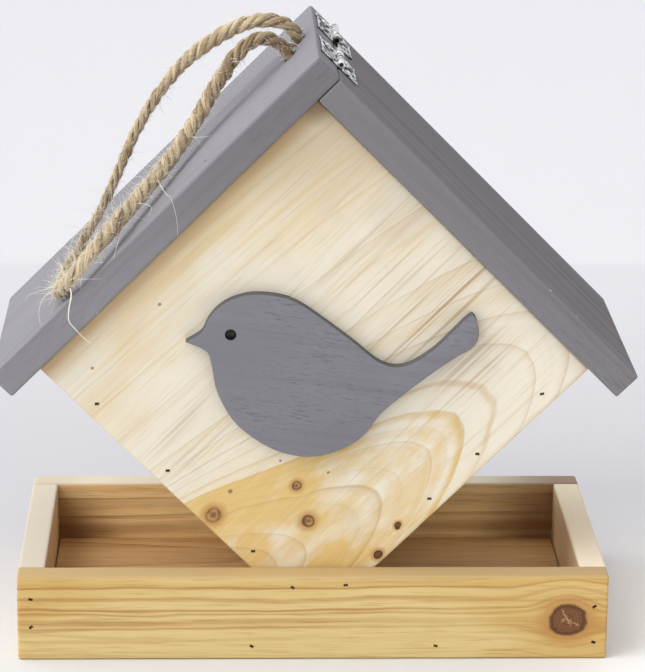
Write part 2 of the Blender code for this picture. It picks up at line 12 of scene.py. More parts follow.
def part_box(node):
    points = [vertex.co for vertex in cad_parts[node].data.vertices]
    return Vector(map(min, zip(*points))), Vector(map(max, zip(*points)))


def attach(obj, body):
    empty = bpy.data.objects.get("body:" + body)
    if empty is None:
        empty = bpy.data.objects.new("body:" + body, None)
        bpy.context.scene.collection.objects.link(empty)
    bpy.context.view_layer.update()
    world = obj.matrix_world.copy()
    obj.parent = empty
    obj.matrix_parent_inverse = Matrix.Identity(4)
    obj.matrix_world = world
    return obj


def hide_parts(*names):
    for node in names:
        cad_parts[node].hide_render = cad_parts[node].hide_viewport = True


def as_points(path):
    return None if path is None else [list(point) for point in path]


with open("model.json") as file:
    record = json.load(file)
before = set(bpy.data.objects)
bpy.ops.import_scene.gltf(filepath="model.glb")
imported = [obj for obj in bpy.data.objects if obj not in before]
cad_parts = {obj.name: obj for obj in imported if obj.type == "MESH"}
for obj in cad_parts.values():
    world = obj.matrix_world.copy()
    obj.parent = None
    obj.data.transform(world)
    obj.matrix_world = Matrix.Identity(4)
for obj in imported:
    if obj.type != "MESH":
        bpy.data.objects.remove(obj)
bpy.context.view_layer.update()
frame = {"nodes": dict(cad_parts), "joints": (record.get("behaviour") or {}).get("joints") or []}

MM = 0.001
C45 = math.sqrt(0.5)
scene = bpy.context.scene
scene.view_settings.view_transform = "Standard"

# Places read from the frame
lid_pos = Vector(frame["joints"][0]["pos_m"])
ROOF_BOARD = 12 * MM
AXIS_RISE = 1.9 * MM
# The hinge axis lies one board from the ridge corner along the right slope, and just above it
APEX = Vector((0, 0, lid_pos.z + (ROOF_BOARD - AXIS_RISE) * C45))
INNER_APEX = APEX.z - ROOF_BOARD / C45


# Camera, at the photograph's viewing angle
CAMERA_PLACE = (-0.0377, -1.2395, 0.4804)
PITCH, YAW, ROLL = (math.radians(angle) for angle in (16.254, 1.957, 0.608))  # down, to the right, clockwise
SENSOR_WIDTH, LENS = 36, 166.07


def make_camera():
    forward = Vector((math.sin(YAW) * math.cos(PITCH), math.cos(YAW) * math.cos(PITCH), -math.sin(PITCH)))
    side = Vector((math.cos(YAW), -math.sin(YAW), 0))
    upright = side.cross(forward)
    right = side * math.cos(ROLL) + upright * math.sin(ROLL)
    up = upright * math.cos(ROLL) - side * math.sin(ROLL)
    data = bpy.data.cameras.new("camera")
    data.sensor_width, data.lens = SENSOR_WIDTH, LENS
    data.clip_start, data.clip_end = 0.01, 50
    camera = bpy.data.objects.new("camera", data)
    camera.matrix_world = Matrix.Translation(CAMERA_PLACE) @ Matrix((right, up, -forward)).transposed().to_4x4()
    scene.collection.objects.link(camera)
    scene.camera = camera


make_camera()


# Shared mesh and node helpers
def new_object(name, bm, smooth=True):
    mesh = bpy.data.meshes.new(name)
    bm.to_mesh(mesh)
    bm.free()
    if smooth:
        mesh.polygons.foreach_set("use_smooth", [True] * len(mesh.polygons))
    item = bpy.data.objects.new(name, mesh)
    scene.collection.objects.link(item)
    return item


def applied(item):
    """Bakes an object's modifiers into its mesh."""
    graph = bpy.context.evaluated_depsgraph_get()
    mesh = bpy.data.meshes.new_from_object(item.evaluated_get(graph), depsgraph=graph)
    item.modifiers.clear()
    old = item.data
    item.data = mesh
    bpy.data.meshes.remove(old)
    return item


def dress(item, body, node=None, materials=()):
    """Gives a piece its materials, the body it rides on and the frame's node that it replaces."""
    if materials and len(item.data.materials):
        item.data.materials.clear()
    for material in materials:
        item.data.materials.append(material)
    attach(item, body)
    if node:
        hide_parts(node)


def box_of(node):
    """The low and the high corner of a frame node's box."""
    return [Vector(corner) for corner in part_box(node)]


def around(sides, way=1):
    """The cosine and sine of each even step round a circle."""
    angles = [way * 2 * math.pi * k / sides for k in range(sides)]
    return [(math.cos(angle), math.sin(angle)) for angle in angles]


def join_rings(bm, rings, caps=True):
    """Faces between each ring of vertices and the next, and across both ends."""
    for one, two in zip(rings, rings[1:]):
        for k in range(len(one)):
            n = (k + 1) % len(one)
            bm.faces.new((one[k], one[n], two[n], two[k]))
    if caps:
        bm.faces.new(rings[0][::-1])
        bm.faces.new(rings[-1])


def rounded_loop(points, steps, corner=None):
    """A closed smooth loop through the points, with a sharp corner at that one."""
    loop = []
    count = len(points)
    for i in range(count):
        a, b, c, d = (Vector(points[(i + k) % count]) for k in (-1, 0, 1, 2))
        a = b if i == corner else a
        d = c if (i + 1) % count == corner else d
        for t in (step / steps for step in range(steps)):
            cubic = 2 * b + (c - a) * t + (2 * a - 5 * b + 4 * c - d) * t * t + (3 * b - a - 3 * c + d) * t**3
            loop.append(0.5 * cubic)
    return loop


def cut_away(item, cutter_mesh):
    """Cuts a bmesh, given in world space, out of an object."""
    bmesh.ops.recalc_face_normals(cutter_mesh, faces=cutter_mesh.faces)
    cutter = new_object(item.name + "_cutter", cutter_mesh, smooth=False)
    cut = item.modifiers.new("cut", "BOOLEAN")
    cut.operation = "DIFFERENCE"
    cut.solver = "EXACT"
    cut.object = cutter
    applied(item)
    bpy.data.objects.remove(cutter, do_unlink=True)
    return item


class Field:
    """A shader socket that takes part in sums: each + - * / makes one Math node."""

    def __init__(self, nodes, socket):
        self.nodes, self.socket = nodes, socket

    def __add__(self, other):
        return self.nodes.math("ADD", self, other)

    def __sub__(self, other):
        return self.nodes.math("SUBTRACT", self, other)

    def __rsub__(self, other):
        return self.nodes.math("SUBTRACT", other, self)

    def __mul__(self, other):
        return self.nodes.math("MULTIPLY", self, other)

    def __truediv__(self, other):
        return self.nodes.math("DIVIDE", self, other)

    def __rtruediv__(self, other):
        return self.nodes.math("DIVIDE", other, self)


class Nodes:
    """Short calls for building the node tree of a new material or world."""

    def __init__(self, owner, shader="Principled BSDF"):
        owner.use_nodes = True
        self.owner, self.tree = owner, owner.node_tree
        self.shader = self.tree.nodes[shader]

    def link(self, value, socket):
        if isinstance(value, Field):
            self.tree.links.new(value.socket, socket)
        else:
            socket.default_value = (*value, 1) if socket.type == "RGBA" else value

    def make(self, kind, output, inputs, **settings):
        """A node with its settings, then its inputs by name or number. Returns one output as a Field."""
        node = self.tree.nodes.new("ShaderNode" + kind)
        for key, value in settings.items():
            setattr(node, key, value)
        for key, value in inputs.items():
            self.link(value, node.inputs[key])
        return Field(self, node.outputs[output])

    def math(self, operation, *values):
        return self.make("Math", 0, dict(enumerate(values)), operation=operation)

    def hypot(self, a, b):
        return self.math("SQRT", a * a + b * b)

    def ramp(self, value, low, high):
        """A smooth step from 0 at low to 1 at high."""
        inputs = {"Value": value, "From Min": low, "From Max": high}
        return self.make("MapRange", "Result", inputs, interpolation_type="SMOOTHSTEP")

    def mix(self, factor, a, b, blend="MIX"):
        inputs = {"Factor": factor, "A": a, "B": b}
        return self.make("Mix", "Result", inputs, data_type="RGBA", blend_type=blend)

    def lay(self, colour, *layers):
        """Each (amount, tone) over the colour in turn."""
        for amount, tone in layers:
            colour = self.mix(amount, colour, tone)
        return colour

    def object_space(self):
        return self.make("TexCoord", "Object", {})

    def attribute(self, name, output="Fac"):
        return self.make("Attribute", output, {}, attribute_name=name)

    def mapped(self, vector, scale=(1, 1, 1), shift=(0, 0, 0), turn=(0, 0, 0)):
        inputs = {"Vector": vector, "Scale": scale, "Location": shift, "Rotation": turn}
        return self.make("Mapping", "Vector", inputs)

    def noise(self, place, scale, detail=2.0, rough=0.5):
        """Noise from 0 to 1. A tuple of scales stretches it, and one number scales it evenly."""
        if isinstance(scale, tuple):
            place, scale = self.mapped(place, scale), 1.0
        return self.make("TexNoise", "Fac", {"Vector": place, "Scale": scale, "Detail": detail, "Roughness": rough})

    def line_noise(self, value, scale, detail=2.0):
        inputs = {"W": value, "Scale": scale, "Detail": detail}
        return self.make("TexNoise", "Fac", inputs, noise_dimensions="1D")

    def split(self, vector):
        node = self.tree.nodes.new("ShaderNodeSeparateXYZ")
        self.link(vector, node.inputs[0])
        return [Field(self, output) for output in node.outputs]

    def bump(self, height, strength, distance):
        inputs = {"Height": height, "Strength": strength, "Distance": distance}
        self.link(self.make("Bump", "Normal", inputs), self.shader.inputs["Normal"])

    def finish(self, colour, roughness, others):
        for key, value in {"Base Color": colour, "Roughness": roughness, **others}.items():
            self.link(value, self.shader.inputs[key])
        return self.owner


def scaled(colour, factor):
    return tuple(min(c * factor, 1) for c in colour)


# Materials
BARE_WOOD = (0.62, 0.52, 0.38)
GRAINY = (0.42, 0.27, 0.13)
KNOT_EDGE = (0.14, 0.06, 0.022)
KNOT_DARK = (0.075, 0.032, 0.014)
KNOT_PALE = (0.30, 0.135, 0.055)
KNOT_FLESH = (0.50, 0.275, 0.105)
KNOT_RED = (0.125, 0.038, 0.014)
KNOT_SPLIT = (0.50, 0.32, 0.17)
HALO = (0.48, 0.24, 0.07)
SMALL_KNOT, BIG_KNOT = 1 * MM, 4 * MM  # radius
KNOT_RING = 1.25 * MM  # spacing of a big knot's own rings
DRY_SPLITS = ((2.0, 0.9), (3.3, 0.5), (5.0, 0.6), (5.75, 0.95))  # angle and reach of a big red knot's cracks
RING_FAN = 0.06  # how far from the pith growth rings stay slanted


def knot_looks(n, knot, along, across, pith_z, wander, ripple, grit):
    """How far a knot pushes the rings aside, and its layers of (amount, tone) from the outside in."""
    x, z, radius, stretch, redness = knot
    kx = (along - x) / stretch
    kz = across - z
    away = n.hypot(kx, kz)
    uneven = ripple * (radius * 0.9) + away
    push = n.ramp(uneven, radius * 4.2, 0.0) * (radius * (1.5 if z > pith_z else -1.5))
    push = push * (kz / (away + radius * 0.4))
    if radius < SMALL_KNOT:
        return push, [(n.ramp(uneven, radius * 1.4, radius * 0.5) * 0.75, KNOT_EDGE)]
    rough = (grit - 0.5) * min(radius * 0.5, 1.2 * MM) + uneven
    inner = n.lay(KNOT_FLESH, (redness, KNOT_RED), (n.ramp(grit, 0.45, 0.62) * 0.6, KNOT_EDGE))
    if radius > BIG_KNOT:
        circles = n.math("SINE", rough * (2 * math.pi / KNOT_RING))
        dark, pale = n.ramp(circles, -0.2, 1.0) * 0.3, n.ramp(circles, 0.1, -1.0) * 0.35
        inner = n.lay(inner, (dark, KNOT_DARK), (pale, KNOT_PALE))
    inner = n.mix(n.ramp(rough, radius * 0.5, radius * 0.2) * (0.75 - 0.5 * redness), inner, KNOT_EDGE)
    ring = n.ramp(rough, radius * 0.66, radius * 0.85) * n.ramp(rough, radius * 1.16, radius * 0.98)
    ring = ring * (n.ramp(wander, -0.12, 0.12) * 0.35 + (0.35 + 0.25 * redness))
    flesh = n.ramp(rough, radius + 0.15 * MM, radius - 0.25 * MM)
    layers = [(n.ramp(uneven, radius * 2.3, radius * 0.9) * 0.85, HALO), (flesh, inner), (ring, KNOT_DARK)]
    if redness > 0.5 and radius > BIG_KNOT:
        for angle, reach in DRY_SPLITS:
            ahead = kx * math.cos(angle) + kz * math.sin(angle)
            aside = (grit - 0.5) * (4.5 * MM) + (kx * -math.sin(angle) + kz * math.cos(angle))
            split = n.ramp(n.math("ABSOLUTE", aside), 0.42 * MM, 0.2 * MM) * n.ramp(ahead, -0.3 * MM, 0.2 * MM)
            split = split * n.ramp(ahead, radius * reach, radius * (reach - 0.3))
            layers.append((split * 0.6, KNOT_SPLIT))
    return push, layers


def pine(
    name, light, warm, line, pith, taper, spacing, shift=(0, 0, 0), warmth=0.25, strength=0.6, fine=0.5, knots=(),
    spots=(), spot_stretch=0.75, heart=None, edge=None, sweep=None, rim=None, bands=(), painted_shade=(), grainy=(),
    outside=None, banding=0.45, wave=0.0011, shade_colour=(0.30, 0.21, 0.13),
):
    """Bare pine. The board's local X runs along the grain, and growth rings are cones round the pith line.

    Pith is where that line crosses local Y and Z. Wave is how far the rings ripple.
    Each knot is (x, z, radius, stretch, redness) and each amber spot is (x, z, reach, amount).
    Heart is the ring distance within which the wood turns amber, how much, and how much more at its boundary.
    Edge darkens local Z from, to: a painted shadow of the roof's overhang. Rim is (z, colour) of the top.
    Outside is (y, tint, x) for the face behind that local Y and the ends past that X: the base tone is painted
    light for a shaded inner face, and the tint takes the outer face and ends back down.
    Sweep is (x, bend): the rings of the lower half curve up where X is less than that.
    Each band is (ring distance, half width, amount). Each dim is a spot of painted shade, (x, z, reach, amount),
    which darkens the wood towards the shade colour where shade falls in a corner or under the roof,
    and each grainy one is where brown streaks stand out.
    """
    n = Nodes(bpy.data.materials.new(name))
    space = n.object_space()
    moved = n.mapped(space, shift=shift)
    along, deep, across = n.split(space)
    wander = n.noise(moved, (5, 16, 16), 1.0) - 0.5
    ripple = n.noise(moved, (22, 110, 110)) - 0.5
    grit = n.noise(space, (380, 380, 380), 3.0, 0.6)

    def distance(x, z, stretch=1.0):
        return n.hypot((along - x) * stretch, across - z)

    # growth rings, pushed aside by the knots
    dz = across - pith[1]
    if sweep:
        before = n.math("MAXIMUM", sweep[0] - along, 0.0)
        dz = before * before * n.ramp(across, 0.02, -0.02) * -sweep[1] + dz
    slant = taper / (dz * dz * (1 / RING_FAN**2) + 1.0)
    rings = wander * 0.008 + (along * slant + n.hypot(deep - pith[0], dz))
    rings = ripple * wave + rings
    knot_layers = []
    for knot in knots:
        push, layers = knot_looks(n, knot, along, across, pith[1], wander, ripple, grit)
        rings = rings - push
        knot_layers += layers
    turns = rings / spacing
    turns = n.line_noise(turns, 0.45, 1.0) * 2.4 + turns
    chance = n.make("TexWhiteNoise", "Value", {"W": n.math("FLOOR", turns)}, noise_dimensions="1D")
    phase = n.math("FRACT", turns)
    soft = n.ramp(phase, 0.2, 0.93) * n.ramp(phase, 1.0, 0.93)
    thin = n.ramp(phase, 0.74, 0.93) * n.ramp(phase, 1.0, 0.95)
    patch = n.ramp(n.noise(moved, (12, 34, 34), 1.0), 0.25, 0.7)
    bold = n.ramp(chance, 0.35, 0.95) * (patch * 0.65 + 0.35)
    # how amber the wood is
    amber = n.ramp(n.noise(moved, (9, 30, 30)), 0.4, 0.8) * 0.5 + (warmth - 0.1)
    if heart:
        inside = n.ramp(ripple * 0.002 + rings, heart[0] + 0.0006, heart[0] - 0.0004)
    for x, z, reach, amount in spots:
        spread = wander * (reach * 1.2) + distance(x, z, spot_stretch)
        spread = n.ramp(ripple * (reach * 0.5) + spread, reach, reach * 0.45)
        if heart and z < 0:
            spread = spread * inside
        amber = spread * amount + amber
    amber = n.ramp(n.line_noise(turns, 0.8), 0.45, 0.75) * banding + amber
    if heart:
        mottle = n.ramp(n.noise(moved, (40, 130, 130), 3.0, 0.65), 0.36, 0.64) * 0.55 - 0.3
        amber = inside * mottle + (inside * heart[1] + amber)
        amber = inside * n.ramp(rings, heart[0] - 0.0020, heart[0] - 0.0006) * heart[2] + amber
        bold = bold * (inside * 0.4 + 1.0)
    # colour, from the broad tones to the finest fibres
    fibre = n.noise(moved, (45, 1300, 1300), 3.0, 0.6)
    streak = n.noise(moved, (11, 330, 330), 3.0, 0.55)
    figure = n.noise(moved, (70, 42, 42))
    colour = n.lay(
        light,
        (amber, warm),
        (n.ramp(figure, 0.56, 0.8) * 0.16, scaled(light, 0.7)),
        (soft * bold * (strength * 0.5), line),
        (thin * bold * (strength * 0.6), scaled(line, 0.85)),
    )
    for ring, half, amount in bands:
        off = n.math("ABSOLUTE", ripple * 0.0015 + rings - ring)
        colour = n.mix(n.ramp(off, half * 1.6, half * 0.3) * (patch * 0.6 + 0.4) * amount, colour, line)
    colour = n.lay(
        colour,
        (n.ramp(streak, 0.54, 0.74) * (fine * 0.6), line),
        (n.ramp(streak, 0.45, 0.3) * (fine * 0.25), scaled(light, 1.1)),
        (n.ramp(fibre, 0.5, 0.78) * (fine * 0.65), scaled(line, 0.85)),
    )
    if grainy:
        threads = n.ramp(n.noise(moved, (8, 640, 640)), 0.5, 0.66) * 0.8 + 0.12
    for x, z, reach, amount in grainy:
        dark = n.ramp(wander * reach + distance(x, z, 0.55), reach, reach * 0.2) * threads
        colour = n.mix(dark * amount, colour, GRAINY)
    # edges, faces and knots, with painted light and shade: a roof's shadow, a lightened inner face and darkened
    # corners
    # painted shadow: the band along the edge under the left roof's overhang
    if edge:
        colour = n.mix(n.ramp(across, *edge) * 0.65, colour, line)
    if rim:
        colour = n.mix(n.ramp(across, rim[0] - 1.4 * MM, rim[0] - 0.2 * MM) * 0.85, colour, rim[1])
    # painted light: the inner face keeps the brighter base tone against its shade, and the outer face and ends are
    # tinted darker
    if outside:
        back, tint, end = outside
        between = n.ramp(n.math("ABSOLUTE", along), end + 0.3 * MM, end - 0.3 * MM)
        between = n.math("MAXIMUM", between, n.ramp(across, rim[0] - 1.5 * MM, rim[0] - 0.2 * MM))
        inner_face = n.ramp(deep, back - 0.1 * MM, back - 0.8 * MM) * between
        colour = n.mix(inner_face, n.mix(1.0, colour, tint, "MULTIPLY"), colour)
    colour = n.lay(colour, *knot_layers)
    # painted shade: the wood darkens towards the shade colour where shade falls, in the tray's inner corners and
    # under the gable's roof
    for x, z, reach, amount in painted_shade:
        shaded = n.ramp(distance(x, z), reach, reach * 0.3) * amount
        colour = n.mix(shaded * inner_face if outside else shaded, colour, shade_colour)
    colour = n.mix(n.attribute("wear") * 0.12, colour, line)
    n.bump(fibre * -1.0, 0.25, 0.0003)
    return n.finish(colour, fibre * 0.16 + 0.52, {"Specular IOR Level": 0.25})


def paint(name, tone, seed, grain=0.5, brown=0.0, pores=0.5, front=None, tilt=0.0, pore=(190, 2300)):
    """Thin matt grey paint. The board's local X runs along the grain, whose lines and pores show through.

    Front is (y, x, x, amount, factor): the face in front of that Y nears that factor of the tone at the second X,
    as painted shade along the front face.
    Tilt turns the grain about Y, and pore is how many pores there are along and across it.
    """
    n = Nodes(bpy.data.materials.new(name))
    space = n.object_space()
    moved = n.mapped(space, shift=(seed * 0.37, seed * 0.53, seed * 0.71), turn=(0, tilt, 0))
    wear = n.attribute("wear")
    cloud = n.noise(moved, (14, 30, 30), 3.0)
    lines = n.noise(moved, (9, 300, 300), 3.0, 0.6)
    wide = n.noise(moved, (8, 90, 90))
    dashes = n.noise(moved, (pore[0], pore[1], pore[1]), 1.0)
    speck = n.noise(moved, (420, 520, 520))
    chip = n.noise(moved, (240, 300, 300), 1.0)
    streak = n.noise(moved, (4, 75, 75), 4.0, 0.65)
    light = scaled(tone, 1.25)
    pit = n.ramp(dashes, 0.58, 0.72) * n.ramp(cloud, 0.34, 0.62)
    colour = n.lay(
        scaled(tone, 0.94),
        (n.ramp(cloud, 0.25, 0.75), scaled(tone, 1.06)),
        (n.ramp(wide, 0.45, 0.8) * brown, (tone[0] * 1.1, tone[1] * 0.93, tone[2] * 0.82)),
        (n.ramp(streak, 0.45, 0.68) * (0.6 * brown), scaled(tone, 0.68)),
        (n.ramp(lines, 0.5, 0.75) * (0.55 * grain), scaled(tone, 0.66)),
        (n.ramp(lines, 0.45, 0.24) * (0.4 * grain), light),
        (pit * pores, scaled(tone, 0.35)),
        (n.ramp(speck, 0.6, 0.85) * 0.14, light),
    )
    # painted shading along the front face: the left board darkens towards the ridge, the lid lightens a little
    # towards it
    if front:
        plane, start, end, amount, factor = front
        along, deep, _ = n.split(space)
        shade = n.ramp(deep, plane + 1.5 * MM, plane) * n.ramp(along, start, end)
        colour = n.mix(shade * amount, colour, scaled(tone, factor))
    rubbed = n.ramp(wear, 0.8, 1.0) * n.ramp(chip, 0.745, 0.765)
    colour = n.lay(colour, (wear * 0.13, light), (rubbed, BARE_WOOD))
    n.bump(speck * 0.3 + (pit * -1.0 + lines * 0.7), 0.32, 0.0003)
    return n.finish(colour, cloud * 0.14 + 0.62, {"Specular IOR Level": 0.06})


def jute(name, pale=0.0, dark=0.0):
    """Twisted plant fibre. The fibre attribute runs round and along each strand.

    Groove is 1 in the creases where the strands meet and near the holes, which is painted shade;
    it also rises where the rope is darker, and falls below 0 where it is bleached.
    """
    n = Nodes(bpy.data.materials.new(name))
    fibre = n.attribute("fibre", "Vector")
    drawn = n.mapped(fibre, (1, 1, 0.10))
    fine = n.noise(drawn, 5.5, 4.0, 0.65)
    middle = n.noise(drawn, 2.1, 3.0, 0.6)
    broad = n.noise(fibre, (0.5, 0.5, 0.09))
    colour = n.lay(
        (0.17, 0.095, 0.04),
        (n.ramp(fine, 0.30, 0.64), (0.66, 0.50, 0.29)),
        (n.ramp(middle, 0.42, 0.60) * 0.7, (0.80, 0.67, 0.45)),
        (n.ramp(broad, 0.45, 0.6) * 0.7, (0.25, 0.15, 0.07)),
        (n.ramp(middle, 0.46, 0.34) * 0.65, (0.17, 0.10, 0.045)),
    )
    if pale:
        colour = n.mix(pale, colour, (0.95, 0.90, 0.76))
    else:
        shade_and_bleach = n.attribute("shade_and_bleach")
        bleached = n.mix(n.ramp(fine, 0.35, 0.6), (0.44, 0.31, 0.16), (0.85, 0.73, 0.50))
        # painted shade: the creases and the rope by the holes go nearly black; below 0 the rope is bleached
        colour = n.lay(colour, (shade_and_bleach * -0.5, bleached), (shade_and_bleach * 0.75, (0.11, 0.06, 0.028)))
        n.bump(middle * 0.6 + fine, 0.9, 0.0005)
    if dark:
        colour = n.mix(dark, colour, (0.13, 0.07, 0.035))
    return n.finish(colour, fine * 0.15 + 0.72, {"Sheen Weight": 0.25, "Specular IOR Level": 0.25})


def metal(name, tone, low, high, dull=0.0):
    """Bright or dull metal with fine scratches and dark smudges, which partly stand in for painted dark
    reflections.
    """
    n = Nodes(bpy.data.materials.new(name))
    space = n.object_space()
    smudge_and_dark_reflection = n.noise(space, 300.0)
    scratch = n.noise(space, (300, 2400, 900))
    # dark patches in the colour: partly smudges, partly painted dark reflections
    colour = n.mix(n.ramp(smudge_and_dark_reflection, 0.38, 0.53), scaled(tone, 0.15 - dull * 0.05), tone)
    n.bump(scratch, 0.12, 0.00008)
    return n.finish(colour, scratch * 0.08 + (smudge_and_dark_reflection * (high - low) + low), {"Metallic": 1.0 - dull * 0.6})


NICKEL = metal("nickel", (0.93, 0.925, 0.91), 0.12, 0.32)
STEEL = metal("nail_steel", (0.10, 0.08, 0.065), 0.4, 0.7, dull=1.0)
JUTE = jute("jute")
JUTE_HAIR = jute("jute_fibres", pale=0.9)
JUTE_DARK = jute("jute_dark_yarn", dark=0.75)
# near-black metal for the hinge pins: painted shade in the hollow ends of the knuckles
HOLLOW_SHADE = metal("painted_hollow_shade", (0.035, 0.032, 0.03), 0.3, 0.5, dull=1.0)
# near-black matt metal: the bird's black eye bead and hinge patina, and painted shade under and inside the hinge
# leaves
PATINA_AND_SHADE = metal("hinge_patina", (0.03, 0.028, 0.026), 0.7, 0.9, dull=1.6)


# Rope: three twisted strands along one smooth line, which matches the frame's rope solid
def slope_point(down, y, rise):
    """A world point on the left slope, from millimetres down it, along Y and out from it."""
    return Vector((-(down + rise) * C45 * MM, y * MM, APEX.z - (down - rise) * C45 * MM))


ROPE_DIAMETER = 5 * MM
# From the back hole over the arch and down the slope to the bight, and back to the front hole
ROPE_ABOVE = [
    (9.0, 6, 0), (7.2, 6, 3.4), (6.8, 6, 6.6), (7.9, 6, 10), (11, 6, 15), (19, 6, 20.8), (33, 6, 25.2),
    (48, 6, 26.8), (64, 6, 25.2), (80, 6, 21.2), (96, 6.5, 15), (108, 7, 10.2), (120, 6.5, 6.2), (129.5, 1.5, 4),
    (135.5, -9, 3.4), (139.6, -24, 3.3), (141.4, -40, 3.3), (139.4, -50.5, 4), (132, -57.3, 5.6),
    (121.5, -56, 6.6), (108.5, -46.5, 6.8), (95.5, -35.5, 6.4), (82, -23.5, 6.2), (70, -14, 6.8), (58, -8.5, 9),
    (46, -6.5, 12), (36, -6, 14.4), (27, -6, 15.8), (20, -6, 15), (15, -6, 11.6), (13.2, -6, 6), (13.8, -6, 0),
]
# Each hole's place down the slope outside and inside the board, and along Y
BACK_HOLE = (9.0, 17.5, 6)
FRONT_HOLE = (13.8, 16.8, -6)
KNOT_CENTRE = Vector((-3.5 * MM, 0, 210.5 * MM))
KNOT_TOP = 8.9 * MM
rope_route = [
    KNOT_CENTRE + Vector((0.3 * MM, 3.6 * MM, KNOT_TOP)),
    slope_point(BACK_HOLE[1] + 1.2, 5.7, -14),
    *(slope_point(*row) for row in ROPE_ABOVE),
    slope_point(FRONT_HOLE[1] + 0.8, -5.7, -14),
    KNOT_CENTRE + Vector((0.6 * MM, -3.6 * MM, KNOT_TOP)),
]


def smooth_line(route, step):
    """Points at an even step along a smooth curve through the route, and the curve's length."""
    padded = [route[0] * 2 - route[1]] + route + [route[-1] * 2 - route[-2]]
    dense = []
    for a, b, c, d in zip(padded, padded[1:], padded[2:], padded[3:]):
        ab, bc, cd = (math.sqrt(gap.length) for gap in (b - a, c - b, d - c))
        leave = ((b - a) / ab - (c - a) / (ab + bc) + (c - b) / bc) * bc
        arrive = ((c - b) / bc - (d - b) / (bc + cd) + (d - c) / cd) * bc
        for t in (i / 24 for i in range(24)):
            t2, t3 = t**2, t**3
            held = b * (2 * t3 - 3 * t2 + 1) + c * (3 * t2 - 2 * t3)
            dense.append(held + leave * (t3 - 2 * t2 + t) + arrive * (t3 - t2))
    dense.append(route[-1])
    lengths = [0.0]
    for a, b in zip(dense, dense[1:]):
        lengths.append(lengths[-1] + (b - a).length)
    count = max(2, round(lengths[-1] / step))
    points = []
    j = 0
    for i in range(count + 1):
        target = lengths[-1] * i / count
        while j < len(dense) - 2 and lengths[j + 1] < target:
            j += 1
        part = (target - lengths[j]) / (lengths[j + 1] - lengths[j])
        points.append(dense[j].lerp(dense[j + 1], min(part, 1)))
    return points, lengths[-1]


def carried_frames(points):
    """A (tangent, normal, binormal) at each point that turns as little as it can along the line."""
    frames = []
    normal = None
    for i, point in enumerate(points):
        ahead = points[min(i + 1, len(points) - 1)] - points[max(i - 1, 0)]
        tangent = ahead.normalized()
        if normal is None:
            normal = tangent.orthogonal().normalized()
        normal = (normal - tangent * normal.dot(tangent)).normalized()
        frames.append((tangent, normal, tangent.cross(normal)))
    return frames


def add_tube(bm, layer, centres, frames, radius_at, sides, step, seed, shade_and_bleach_at=None):
    """A closed tube. Layer is the fibre vector: round the tube, and along it by its real length."""
    rings = []
    shade_and_bleach = bm.verts.layers.float.get("shade_and_bleach")
    for i, (centre, (tangent, normal, binormal)) in enumerate(zip(centres, frames)):
        ring = []
        for k in range(sides):
            angle = 2 * math.pi * k / sides
            out = normal * math.cos(angle) + binormal * math.sin(angle)
            vert = bm.verts.new(centre + out * radius_at(i, angle))
            # the fibres wind slowly round the strand
            wound = angle + i * step / (9 * MM)
            vert[layer] = Vector((math.cos(wound), math.sin(wound), i * step / (1.5 * MM) + seed))
            if shade_and_bleach_at:
                vert[shade_and_bleach] = shade_and_bleach_at(i, vert.co)
            ring.append(vert)
        rings.append(ring)
    join_rings(bm, rings)


# Rope thickness along its visible length: full where the strands are loose, thin where it is drawn tight
THICKNESS = [(0, 1.0), (0.06, 1.04), (0.11, 1.2), (0.17, 1.18), (0.25, 0.88), (0.4, 0.76), (0.48, 0.84)]
THICKNESS += [(0.56, 1.1), (0.66, 1.24), (0.8, 1.22), (0.89, 1.22), (0.94, 1.04), (1, 1.0)]
# How bleached the rope is along its length, and below 0 how much darker, most of all at the ends by the holes
BLEACH = [(0, -0.6), (0.035, -0.3), (0.08, 0.4), (0.13, 0.7), (0.2, 0.6), (0.27, 0.1), (0.36, -0.1), (0.5, -0.05)]
BLEACH += [(0.55, 0.5), (0.62, 0.85), (0.76, 0.5), (0.83, 0), (0.88, -0.3), (0.95, -0.5), (1, -0.8)]


def along_table(table, part):
    """A smooth value between a table's rows."""
    for (a, low), (b, high) in zip(table, table[1:]):
        if part <= b:
            t = (part - a) / (b - a)
            return low + (high - low) * t * t * (3 - 2 * t)
    return table[-1][1]


ROPE_STEP = 1.0 * MM
ROPE_LAY = 15.5 * MM
HOLE_STEPS = 26  # rope steps from each end to its hole's mouth
STRAND = 0.262  # a strand's radius, and its distance from the rope's middle, over the rope's diameter


def fibre_mesh():
    """An empty mesh and its fibre layer. The shade-and-bleach layer comes first, as adding one moves the others."""
    bm = bmesh.new()
    bm.verts.layers.float.new("shade_and_bleach")
    return bm, bm.verts.layers.float_vector.new("fibre")


